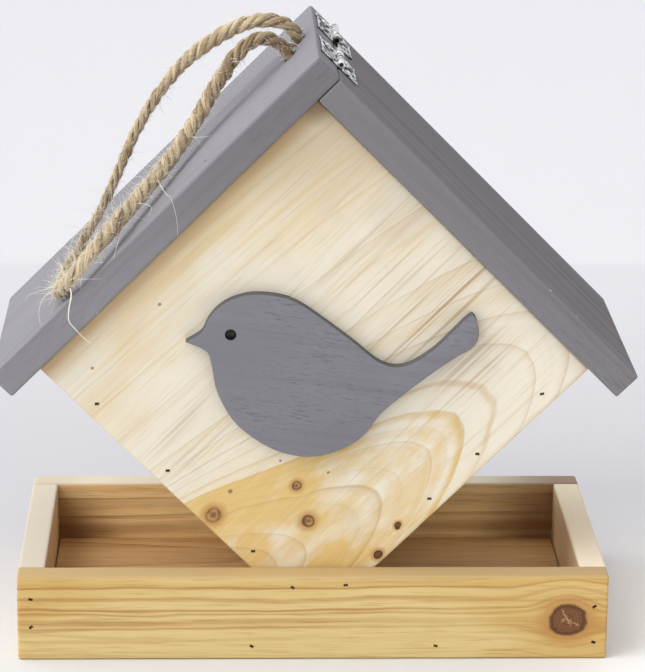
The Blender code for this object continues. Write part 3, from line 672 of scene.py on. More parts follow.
def twisted_rope(name, points, step, diameter, lay, sides=18, seed=0, even=False):
    """Three strands laid left-handed round a line. Each is a full ribbed tube, pressed where they meet."""
    bm, layer = fibre_mesh()
    frames = carried_frames(points)
    last = len(points) - 1
    sizes = [1.0 if even else along_table(THICKNESS, i / last) for i in range(last + 1)]
    turn = 0.0
    turns = []
    for i in range(last + 1):
        loosen = 1 + 0.35 * noise.noise(Vector((i * step * 45, seed + 3.3, 0)))
        turns.append(turn)
        turn -= 2 * math.pi * step / lay * loosen
    for s in range(3):
        centres = []
        for i, (point, (tangent, normal, binormal)) in enumerate(zip(points, frames)):
            angle = turns[i] + 2 * math.pi * s / 3
            angle += 0.55 * noise.noise(Vector((i * step * 120, s * 3.7, seed)))
            reach = diameter * STRAND * sizes[i]
            reach *= 1 + 0.22 * noise.noise(Vector((i * step * 170, s * 7.3, seed)))
            centres.append(point + (normal * math.cos(angle) + binormal * math.sin(angle)) * reach)

        def radius_at(i, angle, s=s):
            around_strand = (math.cos(angle) * 1.6 + s * 5, math.sin(angle) * 1.6 + seed)
            lump = noise.noise(Vector((i * step * 380, *around_strand)))
            wound = angle + i * step / (2.6 * MM)
            rib = math.sin(5 * wound + s) + 0.6 * math.sin(8 * wound + 2 * s)
            size = 1 + 0.16 * noise.noise(Vector((i * step * 90, s * 9.1, seed)))
            return diameter * STRAND * sizes[i] * size * (1 + 0.13 * lump + 0.045 * rib)

        # painted shade in the creases between the strands and near the holes, then the rope's bleaching along its
        # length
        def shade_and_bleach_at(i, place):
            depth = (place - points[i]).length / (diameter * 0.5 * sizes[i])
            near_hole = min(abs(i - HOLE_STEPS), abs(last - i - HOLE_STEPS)) * step / (16 * MM)
            rope_shade = min(1, max(0, (0.86 - depth) / 0.26) + 0.6 * max(0, 1 - near_hole))
            bleached = 0 if even else along_table(BLEACH, i / last)
            return rope_shade - bleached * (1 - rope_shade)

        add_tube(bm, layer, centres, carried_frames(centres), radius_at, sides, step, s * 11 + seed, shade_and_bleach_at)
    rope = new_object(name, bm)
    rope.data.materials.append(JUTE)
    return rope


def add_hair(bm, layer, root, heading, length, thickness, curl, rng, steps=5):
    """One loose fibre: a thin closed three-sided tube that tapers and curls."""
    points = [root]
    bend = Vector([rng.uniform(-1, 1) for _ in range(3)]) * curl
    heading = heading.normalized()
    for _ in range(steps):
        heading = (heading + bend / steps).normalized()
        points.append(points[-1] + heading * length / steps)
    add_yarn(bm, layer, points, length / steps, thickness, 3, rng.uniform(0, 50))


def add_yarn(bm, layer, points, step, thickness, sides, seed):
    """A closed thin tube that tapers towards its end."""
    last = len(points) - 1
    frames = carried_frames(points)
    add_tube(bm, layer, points, frames, lambda i, a: thickness * (1 - 0.7 * i / last), sides, step, seed)


rope_line, rope_length = smooth_line(rope_route, ROPE_STEP)
rope = twisted_rope("jute_rope", rope_line, ROPE_STEP, ROPE_DIAMETER, ROPE_LAY)


OUT_OF_SLOPE = Vector((-C45, 0, C45))


def slope_height(point):
    """How far a point is out from the left slope's surface."""
    return (point - APEX).dot(OUT_OF_SLOPE)


FUZZ_FIBRES = 3300


def rope_fuzz():
    """Fibres all over the rope, more and longer ones on the front strand and at the bight."""
    rng = random.Random(4)
    bm, layer = fibre_mesh()
    frames = carried_frames(rope_line)
    count = len(rope_line)
    for number in range(FUZZ_FIBRES):
        at = rng.randrange(16, count - 16)
        part = at / count
        tangent, normal, binormal = frames[at]
        angle = rng.uniform(0, 2 * math.pi)
        out = normal * math.cos(angle) + binormal * math.sin(angle)
        root = rope_line[at] + out * ROPE_DIAMETER * 0.42 * along_table(THICKNESS, part)
        if slope_height(root) < 0.4 * MM:
            continue
        busy = math.exp(-(((part - 0.6) / 0.15) ** 2))
        loose = number % 5 == 0 and rng.random() < 0.12 + 0.88 * busy
        if loose:
            length = rng.uniform(5, 12) * MM
            heading = out * rng.uniform(0.5, 1.4) + tangent * rng.uniform(-1, 1)
            curl = 2.6
        else:
            length = rng.uniform(1.4, 4.2) * MM * (1 + 1.2 * busy * rng.random())
            heading = out * rng.uniform(0.1, 0.6) + tangent * rng.choice((-1, 1))
            heading += binormal * rng.uniform(-0.5, 0.5)
            curl = 1.5
        tip = root + heading.normalized() * length
        if slope_height(tip) < 0.3 * MM:
            heading += OUT_OF_SLOPE * 1.1
        add_hair(bm, layer, root, heading, length, rng.uniform(0.06, 0.12) * MM, curl, rng)
    hair = new_object("rope_fuzz", bm)
    hair.data.materials.append(JUTE_HAIR)
    return hair


def loose_yarns(name, material, yarns):
    """Long fibres and yarn ends that hang off the rope. Each is a thickness and its route, in millimetres."""
    bm, layer = fibre_mesh()
    for seed, (thick, route) in enumerate(yarns):
        line, _ = smooth_line(route, 0.8 * MM)
        add_yarn(bm, layer, line, 0.8 * MM, thick * MM, 6, 30 + seed)
    yarn = new_object(name, bm)
    yarn.data.materials.append(material)
    return yarn


def down_slope(*rows):
    return [slope_point(*row) for row in rows]


def hanging(*rows):
    return [Vector(row) * MM for row in rows]


HAIR_YARNS = [
    # from the tip over the roof's front edge
    (0.34, down_slope((134, -57, 4.4), (135, -59.6, 1.6))
     + hanging((-97.6, -60.6, 147), (-97.6, -60.8, 142.6), (-95, -60.5, 139), (-91.4, -60.2, 135),
               (-89, -60.4, 133.4))),
    # a long fibre that curls down off the front strand
    (0.13, down_slope((84, -26, 6), (83, -40, 3.6), (81.5, -52, 1.7), (80, -58.8, 1.1))
     + hanging((-55.6, -60.6, 187), (-54.8, -60.8, 182), (-54.6, -60.6, 177))),
    # fibres at the bight
    (0.12, down_slope((141, -38, 4), (147, -38, 7), (153, -35, 9), (157, -30, 8))),
    (0.12, down_slope((138, -50, 5), (145, -53, 7), (150, -57, 5), (153, -60, 1))),
    (0.12, down_slope((133, -56, 6), (131, -60, 6), (126, -63, 2), (122, -62.5, -2))),
    (0.14, down_slope((120, 5, 5), (127, 10, 6.5), (134, 13, 6), (141, 13, 3))),
    (0.12, down_slope((96, -36, 6), (92, -43, 4), (90, -49, 2), (92, -54, 1.2))),
    (0.13, down_slope((108, -49, 6), (106, -55, 4), (109, -59.5, 2.2), (113, -61, 0))),
    (0.12, down_slope((112, -50, 7), (117, -57, 8), (119, -62, 5), (116, -64, 2))),
]
# A loop of one yarn pulled out of the front strand
PULLED_YARNS = [
    (0.55, down_slope((105, -41, 7.5), (103.5, -46, 8.3), (102, -50.5, 7.2), (104, -53, 6.0), (107.5, -52, 5.8),
                      (109, -48.5, 6.6))),
    (0.45, down_slope((100, -40, 8.2), (101, -46, 8.6), (104.5, -51, 6.8), (107, -55, 4.6))),
    (0.3, down_slope((104, -52, 6.2), (105, -55.5, 5.0), (107.5, -57.5, 3.2))),
    # frayed ends where the rope goes into the roof
    (0.5, down_slope((8.6, 8, 4.6), (6.4, 8.6, 3.6), (4.4, 8.2, 1.6))),
    (0.55, down_slope((8.4, 5, 4.2), (5.8, 3.6, 3.6), (4.2, 2.4, 1.4))),
    (0.45, down_slope((9.4, 3.6, 3.2), (8.0, 1.2, 2.8), (6.6, -0.4, 1.0))),
    (0.5, down_slope((13.2, -3.8, 4.4), (11.0, -2.4, 3.4), (9.8, -1.0, 1.2))),
    (0.45, down_slope((12.4, -7, 4.2), (10.2, -7.8, 3.0), (8.8, -7.4, 1.0))),
    (0.4, down_slope((14.2, -8.2, 3.4), (13.4, -10.4, 2.6), (12.2, -11.6, 0.9))),
]


fuzz = rope_fuzz()
yarns = loose_yarns("loose_fibres", JUTE_HAIR, HAIR_YARNS)
pulled = loose_yarns("pulled_yarns", JUTE_DARK, PULLED_YARNS)


def rope_knot():
    """The stopper under the roof: the two ends tied in one overhand knot. The rope's two frayed tails are made
    after it, as plain twisted ends.
    """
    size = 2.5 * MM
    points = []
    turns = 120
    for i in range(turns + 1):
        t = 2 * math.pi * i / turns
        x = math.sin(t) + 2 * math.sin(2 * t)
        y = math.cos(t) - 2 * math.cos(2 * t)
        z = -math.sin(3 * t) * 1.35
        points.append(KNOT_CENTRE + Vector((z * size * 0.95, x * size * 0.92, y * size * 0.92)))
    line, _ = smooth_line(points, 1.2 * MM)
    return twisted_rope("knot_turns", line, 1.2 * MM, ROPE_DIAMETER, ROPE_LAY, 12, seed=3, even=True)


knot = rope_knot()
tails = []
for index, (side, lean) in enumerate(((1, 0.3), (-1, -0.15))):
    route = [
        KNOT_CENTRE + Vector((0, side * 2.5 * MM, -3 * MM)),
        KNOT_CENTRE + Vector((0.5 * MM, side * 4 * MM, -10 * MM)),
        KNOT_CENTRE + Vector((lean * 6 * MM, side * 5.5 * MM, -17 * MM)),
        KNOT_CENTRE + Vector((lean * 10 * MM, side * 6.5 * MM, -23 * MM)),
    ]
    line, _ = smooth_line(route, ROPE_STEP)
    tail = twisted_rope(f"rope_tail_{index + 1}", line, ROPE_STEP, ROPE_DIAMETER, ROPE_LAY, 12, 5 + index, True)
    tails.append(tail)

rope_pieces = [fuzz, yarns, pulled, knot, *tails]
for item in (rope, *rope_pieces):
    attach(item, "house")
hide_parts("hanging_rope")
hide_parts("rope_knot")
tuple(slope_point(*ROPE_ABOVE[0]))
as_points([tuple(p) for p in rope_line[::3]] + [tuple(rope_line[-1])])


# Boards
def ticks(length, radius, cell):
    """Lattice positions along one side, close together where the edge is rounded."""
    half = length / 2
    edge = [0, 0.25 * radius, 0.55 * radius, radius, radius * 1.9]
    inner = half - edge[-1]
    low = [-half + e for e in edge]
    count = max(1, round(2 * inner / cell))
    middle = [-inner + 2 * inner * i / count for i in range(1, count)]
    return low + middle + [-v for v in reversed(low)]


def slab(name, size, place, radius=1.1 * MM, cell=5 * MM, seed=0, worn=0.25):
    """A board with softly rounded, slightly uneven edges. Local X is along its grain."""
    axes = [ticks(side, radius, cell) for side in size]
    half = Vector(size) / 2
    counts = [len(a) for a in axes]
    bm = bmesh.new()
    layer = bm.verts.layers.float.new("wear")
    verts = {}

    def vert(*index):
        if index not in verts:
            point = Vector([axis[i] for axis, i in zip(axes, index)])
            uneven = noise.noise(point * 60 + Vector((seed * 3.1, seed, 0)))
            curve = radius * (1 + worn * uneven)
            inner = Vector([max(-h + curve, min(h - curve, p)) for p, h in zip(point, half)])
            out = point - inner
            verts[index] = bm.verts.new(inner + out.normalized() * curve if out.length > 1e-9 else point)
            edges = sum(1 for p, h in zip(point, half) if h - abs(p) < radius * 0.7)
            verts[index][layer] = 1.0 if edges > 1 else 0.0
        return verts[index]

    for axis in range(3):
        one, two = [a for a in range(3) if a != axis]
        for end in (0, counts[axis] - 1):
            for i in range(counts[one] - 1):
                for j in range(counts[two] - 1):
                    corners = []
                    for di, dj in ((0, 0), (1, 0), (1, 1), (0, 1)):
                        index = [0, 0, 0]
                        index[axis], index[one], index[two] = end, i + di, j + dj
                        corners.append(vert(*index))
                    bm.faces.new(corners)
    bmesh.ops.recalc_face_normals(bm, faces=bm.faces)
    item = new_object(name, bm)
    item.matrix_world = place
    return item


HEAD_WIDE = 1.65 * MM
HEAD_HIGH = 1.1 * MM
BRAD_LENGTH = 20
POCKET_PLAY = 0.12 * MM
POCKET_DEPTH = 3.4 * MM


def brad_turn(name, inward):
    """Each brad's own twist about its length."""
    tilt = random.Random(name).uniform(-0.8, 0.8)
    return inward.normalized().to_track_quat("Z", "Y").to_matrix().to_4x4() @ Matrix.Rotation(tilt, 4, "Z")


def brad_middle(name):
    low, high = box_of(name)
    return (low + high) / 2


def nail_pockets(item, prefix, inward):
    """Cuts the small sunk rectangles where the heads of the brads named so went in."""
    inward = Vector(inward).normalized()
    bm = bmesh.new()
    for name in sorted(frame["nodes"]):
        if name.startswith(prefix):
            head = brad_middle(name) - inward * (BRAD_LENGTH / 2) * MM
            size = Matrix.Diagonal((HEAD_WIDE + POCKET_PLAY, HEAD_HIGH + POCKET_PLAY, POCKET_DEPTH, 1))
            bmesh.ops.create_cube(bm, size=1, matrix=Matrix.Translation(head) @ brad_turn(name, inward) @ size)
    cut_away(item, bm)
    item.data.set_sharp_from_angle(angle=math.radians(40))


FRONT_IN = (0, 1, 0)
BACK_IN = (0, -1, 0)
LEFT_ROOF_IN = (C45, 0, -C45)


def wood_finish(item, options, node):
    dress(item, "house", node, [pine(node + "_pine", **options)])


CREAM = (0.805, 0.745, 0.62)
HONEY = (0.60, 0.39, 0.13)
TAN = (0.42, 0.25, 0.095)
RUST = (0.34, 0.165, 0.055)
RIM = 18 * MM  # the top of a tray wall, from its middle
TRAY_PINE = {
    "tray_front_wall": dict(
        light=(0.715, 0.545, 0.24), warm=(0.60, 0.38, 0.11), line=(0.45, 0.225, 0.065), pith=(-0.02, 0.06),
        taper=0.008, spacing=2.6 * MM, shift=(0.3, 0.1, 0.2), warmth=0.45, strength=0.75, fine=0.85,
        spot_stretch=0.3, wave=0.0026, rim=(RIM, (0.53, 0.375, 0.185)),
        knots=[(0.1036, -0.001, 6.4 * MM, 1.06, 0.85)],
        spots=[(-0.052, -0.013, 0.024, -0.7), (0.032, -0.012, 0.02, -0.7), (-0.02, 0.012, 0.03, -0.4),
               (0.085, 0.0, 0.035, 0.08)],
        bands=[(0.0488, 0.0005, 0.85), (0.0533, 0.0009, 0.6), (0.0577, 0.0006, 0.9), (0.0595, 0.0005, 0.7),
               (0.0625, 0.0010, 0.55), (0.0653, 0.0006, 0.6), (0.0701, 0.0008, 0.3)],
    ),
    "tray_back_wall": dict(
        # the pale base tone is painted light for the shaded inner face; the outside tint takes the outer face and
        # ends back down
        light=(1.0, 0.84, 0.49), warm=(0.97, 0.58, 0.22), line=RUST, pith=(0.02, -0.05), taper=-0.02,
        spacing=4.6 * MM, shift=(1.3, 0.4, 0.9), warmth=0.35, strength=0.75, fine=0.8,
        bands=[(0.0642, 0.0017, 0.3), (0.0539, 0.0024, 0.6), (0.0588, 0.0006, 0.3)],
        rim=(RIM, (0.72, 0.68, 0.57)), outside=(0.0055, (0.69, 0.69, 0.66), 0.109),
        # painted shade in the back wall's two inner corners
        painted_shade=[(-0.114, -0.014, 0.040, 0.85), (0.116, -0.006, 0.050, 0.8)], shade_colour=(0.15, 0.05, 0.016),
    ),
    "tray_left_wall": dict(
        light=(0.70, 0.56, 0.40), warm=(0.62, 0.46, 0.28), line=TAN, pith=(0.05, -0.06), taper=0.02,
        spacing=2.6 * MM, shift=(2.1, 0.2, 0.5), warmth=0.15, strength=0.5, fine=0.5, rim=(RIM, (0.65, 0.61, 0.52)),
    ),
    "tray_right_wall": dict(
        light=(0.76, 0.60, 0.41), warm=(0.68, 0.50, 0.29), line=TAN, pith=(-0.05, 0.06), taper=0.02,
        spacing=2.6 * MM, shift=(0.7, 1.2, 0.1), warmth=0.2, strength=0.5, fine=0.5, rim=(RIM, (0.96, 0.86, 0.67)),
    ),
    "tray_floor": dict(
        light=(0.60, 0.39, 0.19), warm=(0.43, 0.22, 0.075), line=RUST, pith=(0.03, 0.06), taper=0.04,
        spacing=4.2 * MM, shift=(0.2, 2.2, 0.4), warmth=0.3, strength=1.5, fine=1.2,
        knots=[(-0.036, -0.030, 2.2 * MM, 1.6, 0.9), (0.080, 0.016, 2.0 * MM, 1.6, 0.9)],
    ),
}
for index, (node, options) in enumerate(TRAY_PINE.items()):
    low, high = box_of(node)
    size = high - low
    place = Matrix.Translation((low + high) / 2)
    radius = 1.0 * MM
    if node in ("tray_left_wall", "tray_right_wall"):
        place = place @ Matrix.Rotation(math.pi / 2, 4, "Z")
        size = Vector((size.y, size.x, size.z))
        radius = 0.9 * MM
    item = slab(node.replace("tray", "board"), tuple(size), place, radius, seed=index)
    if node == "tray_front_wall":
        nail_pockets(item, "front_brad", FRONT_IN)
    if node == "tray_back_wall":
        nail_pockets(item, "back_brad", BACK_IN)
    wood_finish(item, options, node)

# Gables: the grain runs up to the right, along two of the square's sides
GABLE_TURN = Matrix.Rotation(-math.pi / 4, 4, "Y")


def gable(name, node, options, prefix, inward, seed):
    low, high = box_of(node)
    side = (high.z - low.z + 1.3 * MM) * C45
    centre = Vector((0, (low.y + high.y) / 2, high.z - side * C45))
    item = slab(name, (side, high.y - low.y, side), Matrix.Translation(centre) @ GABLE_TURN, 0.9 * MM, 4 * MM, seed)
    # the bottom corner is cut flat to stand on the floor
    back = item.matrix_world.inverted()
    for v in item.data.vertices:
        world = item.matrix_world @ v.co
        if world.z < low.z:
            world.z = low.z
            v.co = back @ world
    nail_pockets(item, prefix, inward)
    wood_finish(item, options, node)


def on_gable(x, z):
    """Gable local X and Z for a world X and Z."""
    height = INNER_APEX - 110.35 * MM
    return (x * C45 + (z - height) * C45, -x * C45 + (z - height) * C45)


def gable_rows(rows, *rest):
    """Rows of world X, Z, size and more, in millimetres, as the gable's local X, Z, size and more."""
    return [(*on_gable(x * MM, z * MM), size * MM, *more, *rest) for x, z, size, *more in rows]


gable_knots = gable_rows([(-40.7, 58.8, 2.9), (-6.9, 71.4, 1.9), (-2, 56, 2.6)], 1.1, 0.1)
small_knots = [(26.5, 41.7, 1.6), (34.3, 54.4, 1.2), (-33.8, 68.9, 0.9), (-62, 147.5, 0.6), (-89, 121, 0.6)]
gable_knots += gable_rows(small_knots + [(-13.6, 82, 0.5), (5.8, 77, 0.5)], 1.2, 0.9)
gable_spots = [(-38, 62, 24, 0.5), (-14, 72, 20, 0.4), (4, 60, 20, 0.35), (-46, 116, 36, -0.3), (-24, 44, 9, 0.6)]
gable_spots += [(6, 40, 12, 0.6), (20, 46, 12, 0.2), (0, 210, 44, 0.3), (-60, 140, 22, 0.25), (58, 120, 24, 0.2)]
gable_spots += [(36, 150, 30, 0.12)]
gable_streaks = [(58, 156, 24, 0.85), (40, 140, 26, 0.65), (26, 170, 24, 0.45), (64, 124, 18, 0.5)]
gable_streaks += [(-50, 96, 22, 0.45)]
gable(
    "gable_front",
    "front_gable",
    dict(
        light=CREAM, warm=(0.72, 0.51, 0.205), line=(0.55, 0.34, 0.13), pith=(-0.030, -0.053), taper=0.3,
        spacing=3.4 * MM, shift=(0.1, 0.2, 0.3), warmth=0.02, strength=0.55, fine=0.38, banding=0.26,
        knots=gable_knots, spots=gable_rows(gable_spots), grainy=gable_rows(gable_streaks),
        # the edge band along the upper left is a painted shadow of the left roof's overhang
        heart=(0.0325, 0.34, 0.45), edge=(0.0695, 0.0755), sweep=(-0.02, 3.5), bands=[(0.0372, 0.0005, 0.45)],
        # painted shade under the ridge and along the right slope
        painted_shade=gable_rows([(0, 232, 60, 0.3), (0, 231, 13, 0.75), (33, 184, 18, 0.16)]),
    ),
    "gable_front_brad",
    FRONT_IN,
    11,
)
gable(
    "gable_rear",
    "back_gable",
    dict(
        light=CREAM, warm=(0.77, 0.555, 0.24), line=(0.56, 0.36, 0.15), pith=(0.035, 0.03), taper=-0.15,
        spacing=3.4 * MM, shift=(1.1, 0.7, 0.3), warmth=0.2, strength=0.55, fine=0.32,
        knots=[(0.02, -0.03, 3.2 * MM, 1.1, 0.2)],
    ),
    "gable_back_brad",
    BACK_IN,
    12,
)

# Hopper panels
for side, sign in (("left", -1), ("right", 1)):
    node = f"{side}_hopper_panel"
    low, high = box_of(node)
    board = 11 * MM
    # the box of a slab at 45 degrees is its length plus its thickness, over the root of two
    length = (high.x - low.x) / C45 - board
    place = Matrix.Translation((low + high) / 2) @ Matrix.Rotation(-sign * math.pi / 4, 4, "Y")
    item = slab(f"hopper_{side}", (length, high.y - low.y, board), place, seed=20 + sign)
    options = dict(
        light=(0.72, 0.58, 0.38), warm=HONEY, line=TAN, pith=(0.02 * sign, 0.05), taper=0.05,
        spacing=3.3 * MM, shift=(sign, 0.5, 0.2), warmth=0.3,
    )
    wood_finish(item, options, node)

# Roof panels. Local X runs along the slope, local Z out of the roof.
LEFT_FRAME = Matrix.Translation(APEX) @ Matrix.Rotation(-math.pi / 4, 4, "Y")
RIGHT_FRAME = Matrix.Translation(APEX) @ Matrix.Rotation(math.pi / 4, 4, "Y")
ROOF_SLOPE = 183 * MM
left_low, left_high = box_of("roof_left_panel")
ROOF_DEPTH = left_high.y - left_low.y

left_place = LEFT_FRAME @ Matrix.Translation((-ROOF_SLOPE / 2, 0, -ROOF_BOARD / 2))
left_roof = slab("roof_left", (ROOF_SLOPE, ROOF_DEPTH, ROOF_BOARD), left_place, 1.0 * MM, 4 * MM, 31)
ROPE_HOLE = 3.3 * MM
holes = bmesh.new()
for outer, inner, y in (BACK_HOLE, FRONT_HOLE):
    outside = slope_point(outer, y, 0)
    inside = slope_point(inner, y, -12)
    axis = outside - inside
    turn = Vector((0, 0, 1)).rotation_difference(axis.normalized()).to_matrix().to_4x4()
    place = Matrix.Translation((outside + inside) / 2) @ turn
    radii = {"radius1": ROPE_HOLE, "radius2": ROPE_HOLE}
    bmesh.ops.create_cone(holes, cap_ends=True, segments=32, depth=axis.length * 1.8, matrix=place, **radii)
cut_away(left_roof, holes)
nail_pockets(left_roof, "roof_brad", LEFT_ROOF_IN)

lid_length = ROOF_SLOPE - ROOF_BOARD - 0.3 * MM
lid_place = RIGHT_FRAME @ Matrix.Translation((ROOF_BOARD + 0.3 * MM + lid_length / 2, 0, -ROOF_BOARD / 2))
lid = slab("roof_lid_panel", (lid_length, ROOF_DEPTH, ROOF_BOARD), lid_place, 0.8 * MM, 4 * MM, 32)

GREY = (0.232, 0.225, 0.243)
FRONT_FACE = -57.5 * MM
# painted shading on the front faces: the left board darker towards the ridge, the lid a little lighter towards it
LEFT_FRONT = (FRONT_FACE, -0.05, 0.085, 0.58, 0.5)
LID_FRONT = (FRONT_FACE, 0.11, -0.08, 0.8, 1.06)
# the left board's paint is lighter and the lid's darker than the same grey: painted light and shade for the two
# slopes, while the lid's brown streaks are its own
left_paint = paint("roof_left_panel_paint", scaled(GREY, 1.1), 1, 0.6, 0.12, 0.25, LEFT_FRONT)
lid_paint = paint("roof_lid_paint", scaled(GREY, 0.85), 2, 1.0, 1.2, 0.25, LID_FRONT)
dress(left_roof, "house", "roof_left_panel", [left_paint])
dress(lid, "lid", "roof_lid", [lid_paint])

# Bird plaque
BIRD = [
    (-51.7, 132.9), (-45.4, 136.9), (-42.8, 142.0), (-39.2, 146.6), (-33.6, 150.3), (-25.2, 152.5),
    (-14.5, 151.7), (-6, 148.4), (5.5, 140.3), (15.5, 132.6), (24.5, 125.2), (31.5, 122.6), (38.5, 124),
    (47, 129.6), (53.5, 136), (58.6, 141.4), (61.6, 143.9), (62.9, 143.9), (64.2, 141.4), (65, 137.2),
    (64.4, 133.4), (62, 130.2), (56, 126.6), (47, 120.2), (38, 113.2), (31.5, 107.8), (26, 102.6), (22.4, 97.4),
    (18.6, 93), (13.2, 89.2), (6, 86.2), (-3, 84.9), (-14, 87), (-24, 92.4), (-33, 100.6), (-39.2, 112.4),
    (-41.4, 123.6), (-43.6, 129.2),
]
EYE = (-33.8, 136)
EYE_RADIUS = 2.5


def bird_plaque():
    """A sawn plate: a smooth outline with rounded edges, and a round eye right through."""
    low, high = box_of("bird_plaque")
    full = (high.y - low.y) / MM
    outline = rounded_loop(BIRD, 5, corner=0)  # the beak's tip stays sharp
    eye = [Vector((EYE[0] + EYE_RADIUS * x, EYE[1] + EYE_RADIUS * z)) for x, z in around(28, -1)]
    bm = bmesh.new()
    layer = bm.verts.layers.float.new("wear")

    def rings_of(loop, round_off):
        profile = []  # (inset, y)
        for i in range(5):
            angle = math.pi / 2 * i / 4
            profile.append((round_off * (1 - math.sin(angle)), round_off * (1 - math.cos(angle))))
        profile = profile + [(inset, full - y) for inset, y in reversed(profile)]
        count = len(loop)
        rings = []
        for level, (inset, y) in enumerate(profile):
            ring = []
            for i, point in enumerate(loop):
                along = (loop[(i + 1) % count] - loop[i - 1]).normalized()
                inward = Vector((along.y, -along.x))
                place = point + inward * inset
                vert = bm.verts.new((place.x * MM, low.y + y * MM, place.y * MM))
                vert[layer] = 0.3 if 0 < level < len(profile) - 1 else 0.0
                ring.append(vert)
            rings.append(ring)
        join_rings(bm, rings, caps=False)
        return rings[0], rings[-1]

    outer_rings = rings_of(outline, 0.35)
    eye_rings = rings_of(eye, 0.2)
    for outer, inner in zip(outer_rings, eye_rings):
        edges = []
        for ring in (outer, inner):
            for i, vert in enumerate(ring):
                edges.append(bm.edges.get((vert, ring[(i + 1) % len(ring)])))
        bmesh.ops.triangle_fill(bm, use_beauty=True, use_dissolve=False, edges=edges)
    bmesh.ops.recalc_face_normals(bm, faces=bm.faces)
    # the sides take the second, darker paint: painted shade on the plaque's edges
    for face in bm.faces:
        face.material_index = 0 if abs(face.normal.y) > 0.6 else 1
    item = new_object("bird", bm)
    item.data.set_sharp_from_angle(angle=math.radians(35))
    face = paint("bird_paint", (0.217, 0.212, 0.237), 3, 0.5, 0.0, 0.55, tilt=-0.14, pore=(260, 3400))
    # a darker copy of the grey: painted shade for the sides
    edge = paint("bird_edge_shade_paint", (0.13, 0.13, 0.132), 4, 0.5, 0.1, 0.3)
    dress(item, "house", "bird_plaque", [face, edge])


def bird_eye():
    """A small black bead pressed into the plaque's eye hole."""
    bm = bmesh.new()
    bmesh.ops.create_uvsphere(bm, u_segments=28, v_segments=14, radius=1)
    radius = (EYE_RADIUS - 0.05) * MM
    front = box_of("bird_plaque")[0].y
    place = Matrix.Translation((EYE[0] * MM, front + 2.2 * MM, EYE[1] * MM))
    bmesh.ops.transform(bm, verts=bm.verts, matrix=place @ Matrix.Diagonal((radius, 1.2 * MM, radius, 1)))
    dress(new_object("bird_eye", bm), "house", materials=[PATINA_AND_SHADE])


bird_plaque()
bird_eye()


# Brads: small rectangular heads, each a little askew
def brads():
    for name in sorted(frame["nodes"]):
        if "brad" not in name:
            continue
        inward = Vector(BACK_IN if "back" in name else FRONT_IN)
        if name.startswith("roof"):
            inward = Vector(LEFT_ROOF_IN)
        bm = bmesh.new()
        bmesh.ops.create_cube(bm, size=1, matrix=Matrix.Diagonal((HEAD_WIDE, HEAD_HIGH, BRAD_LENGTH * MM, 1)))
        bmesh.ops.bevel(bm, geom=bm.edges[:], offset=0.1 * MM, segments=2, profile=0.6, affect="EDGES")
        place = Matrix.Translation(brad_middle(name)) @ brad_turn(name, inward)
        bmesh.ops.transform(bm, verts=bm.verts, matrix=place)
        item = new_object(name + "_shank", bm)
        item.data.set_sharp_from_angle(angle=math.radians(40))
        dress(item, "house", name, [STEEL])


brads()


# Hinges: pierced scrollwork leaves, rolled knuckles and a pin, in a frame with X out from the axis and Y along it
def hinge_frame(side, centre):
    """Places a leaf: side -1 is the house's, +1 the lid's, and centre is the hinge's middle along Y."""
    mirrored = Matrix.Rotation(math.pi / 4, 4, "Y") @ Matrix.Diagonal((side, 1, 1, 1))
    return Matrix.Translation((lid_pos.x, centre, lid_pos.z)) @ mirrored


# Half a leaf's outer edge and its piercings, in millimetres from the axis and from the hinge's middle
LEAF_EDGE = [(9.7, 0), (9.5, 2.6), (9.4, 5.5), (9.4, 8.6), (9.6, 11.6), (10, 14.4), (7.4, 14.1), (4.8, 14.1)]
LEAF_EDGE += [(2.2, 14.4)]
LEAF_HOLES = [
    [(8.5, 1.3), (7.3, 2.5), (5.4, 2.3), (4.0, 0.0), (5.4, -2.3), (7.3, -2.5), (8.5, -1.3), (7.4, 0.0)],
    [(8.5, 3.5), (8.9, 6.2), (8.2, 8.8), (6.9, 8.2), (7.6, 6.4), (6.3, 7.0), (5.3, 5.8), (6.2, 4.4), (7.3, 4.7)],
    [(8.9, 10.4), (9.3, 13.2), (6.8, 13.4), (5.4, 12.9), (7.5, 11.9)],
    [(4.3, 2.6), (4.8, 4.6), (4.6, 7.0), (3.4, 8.4), (2.3, 7.4), (3.2, 4.8), (2.7, 2.8)],
    [(4.3, 12.6), (4.4, 13.5), (2.6, 13.7), (2.2, 10.4), (3.0, 9.4), (3.2, 11.6)],
]
MIDDLE_HOLE = LEAF_HOLES[0]  # the one that isn't mirrored
NAIL_OUT, NAIL_ALONG = 5.2, 10.4
LEAF_SHEET = 0.7
KNUCKLE, KNUCKLE_BORE = 1.6, 0.85  # radii
LID_KNUCKLE, HOUSE_KNUCKLE = 4.85, 5.15  # where the lid's knuckle ends and the house's two begin
NAIL_ROOM = 0.95


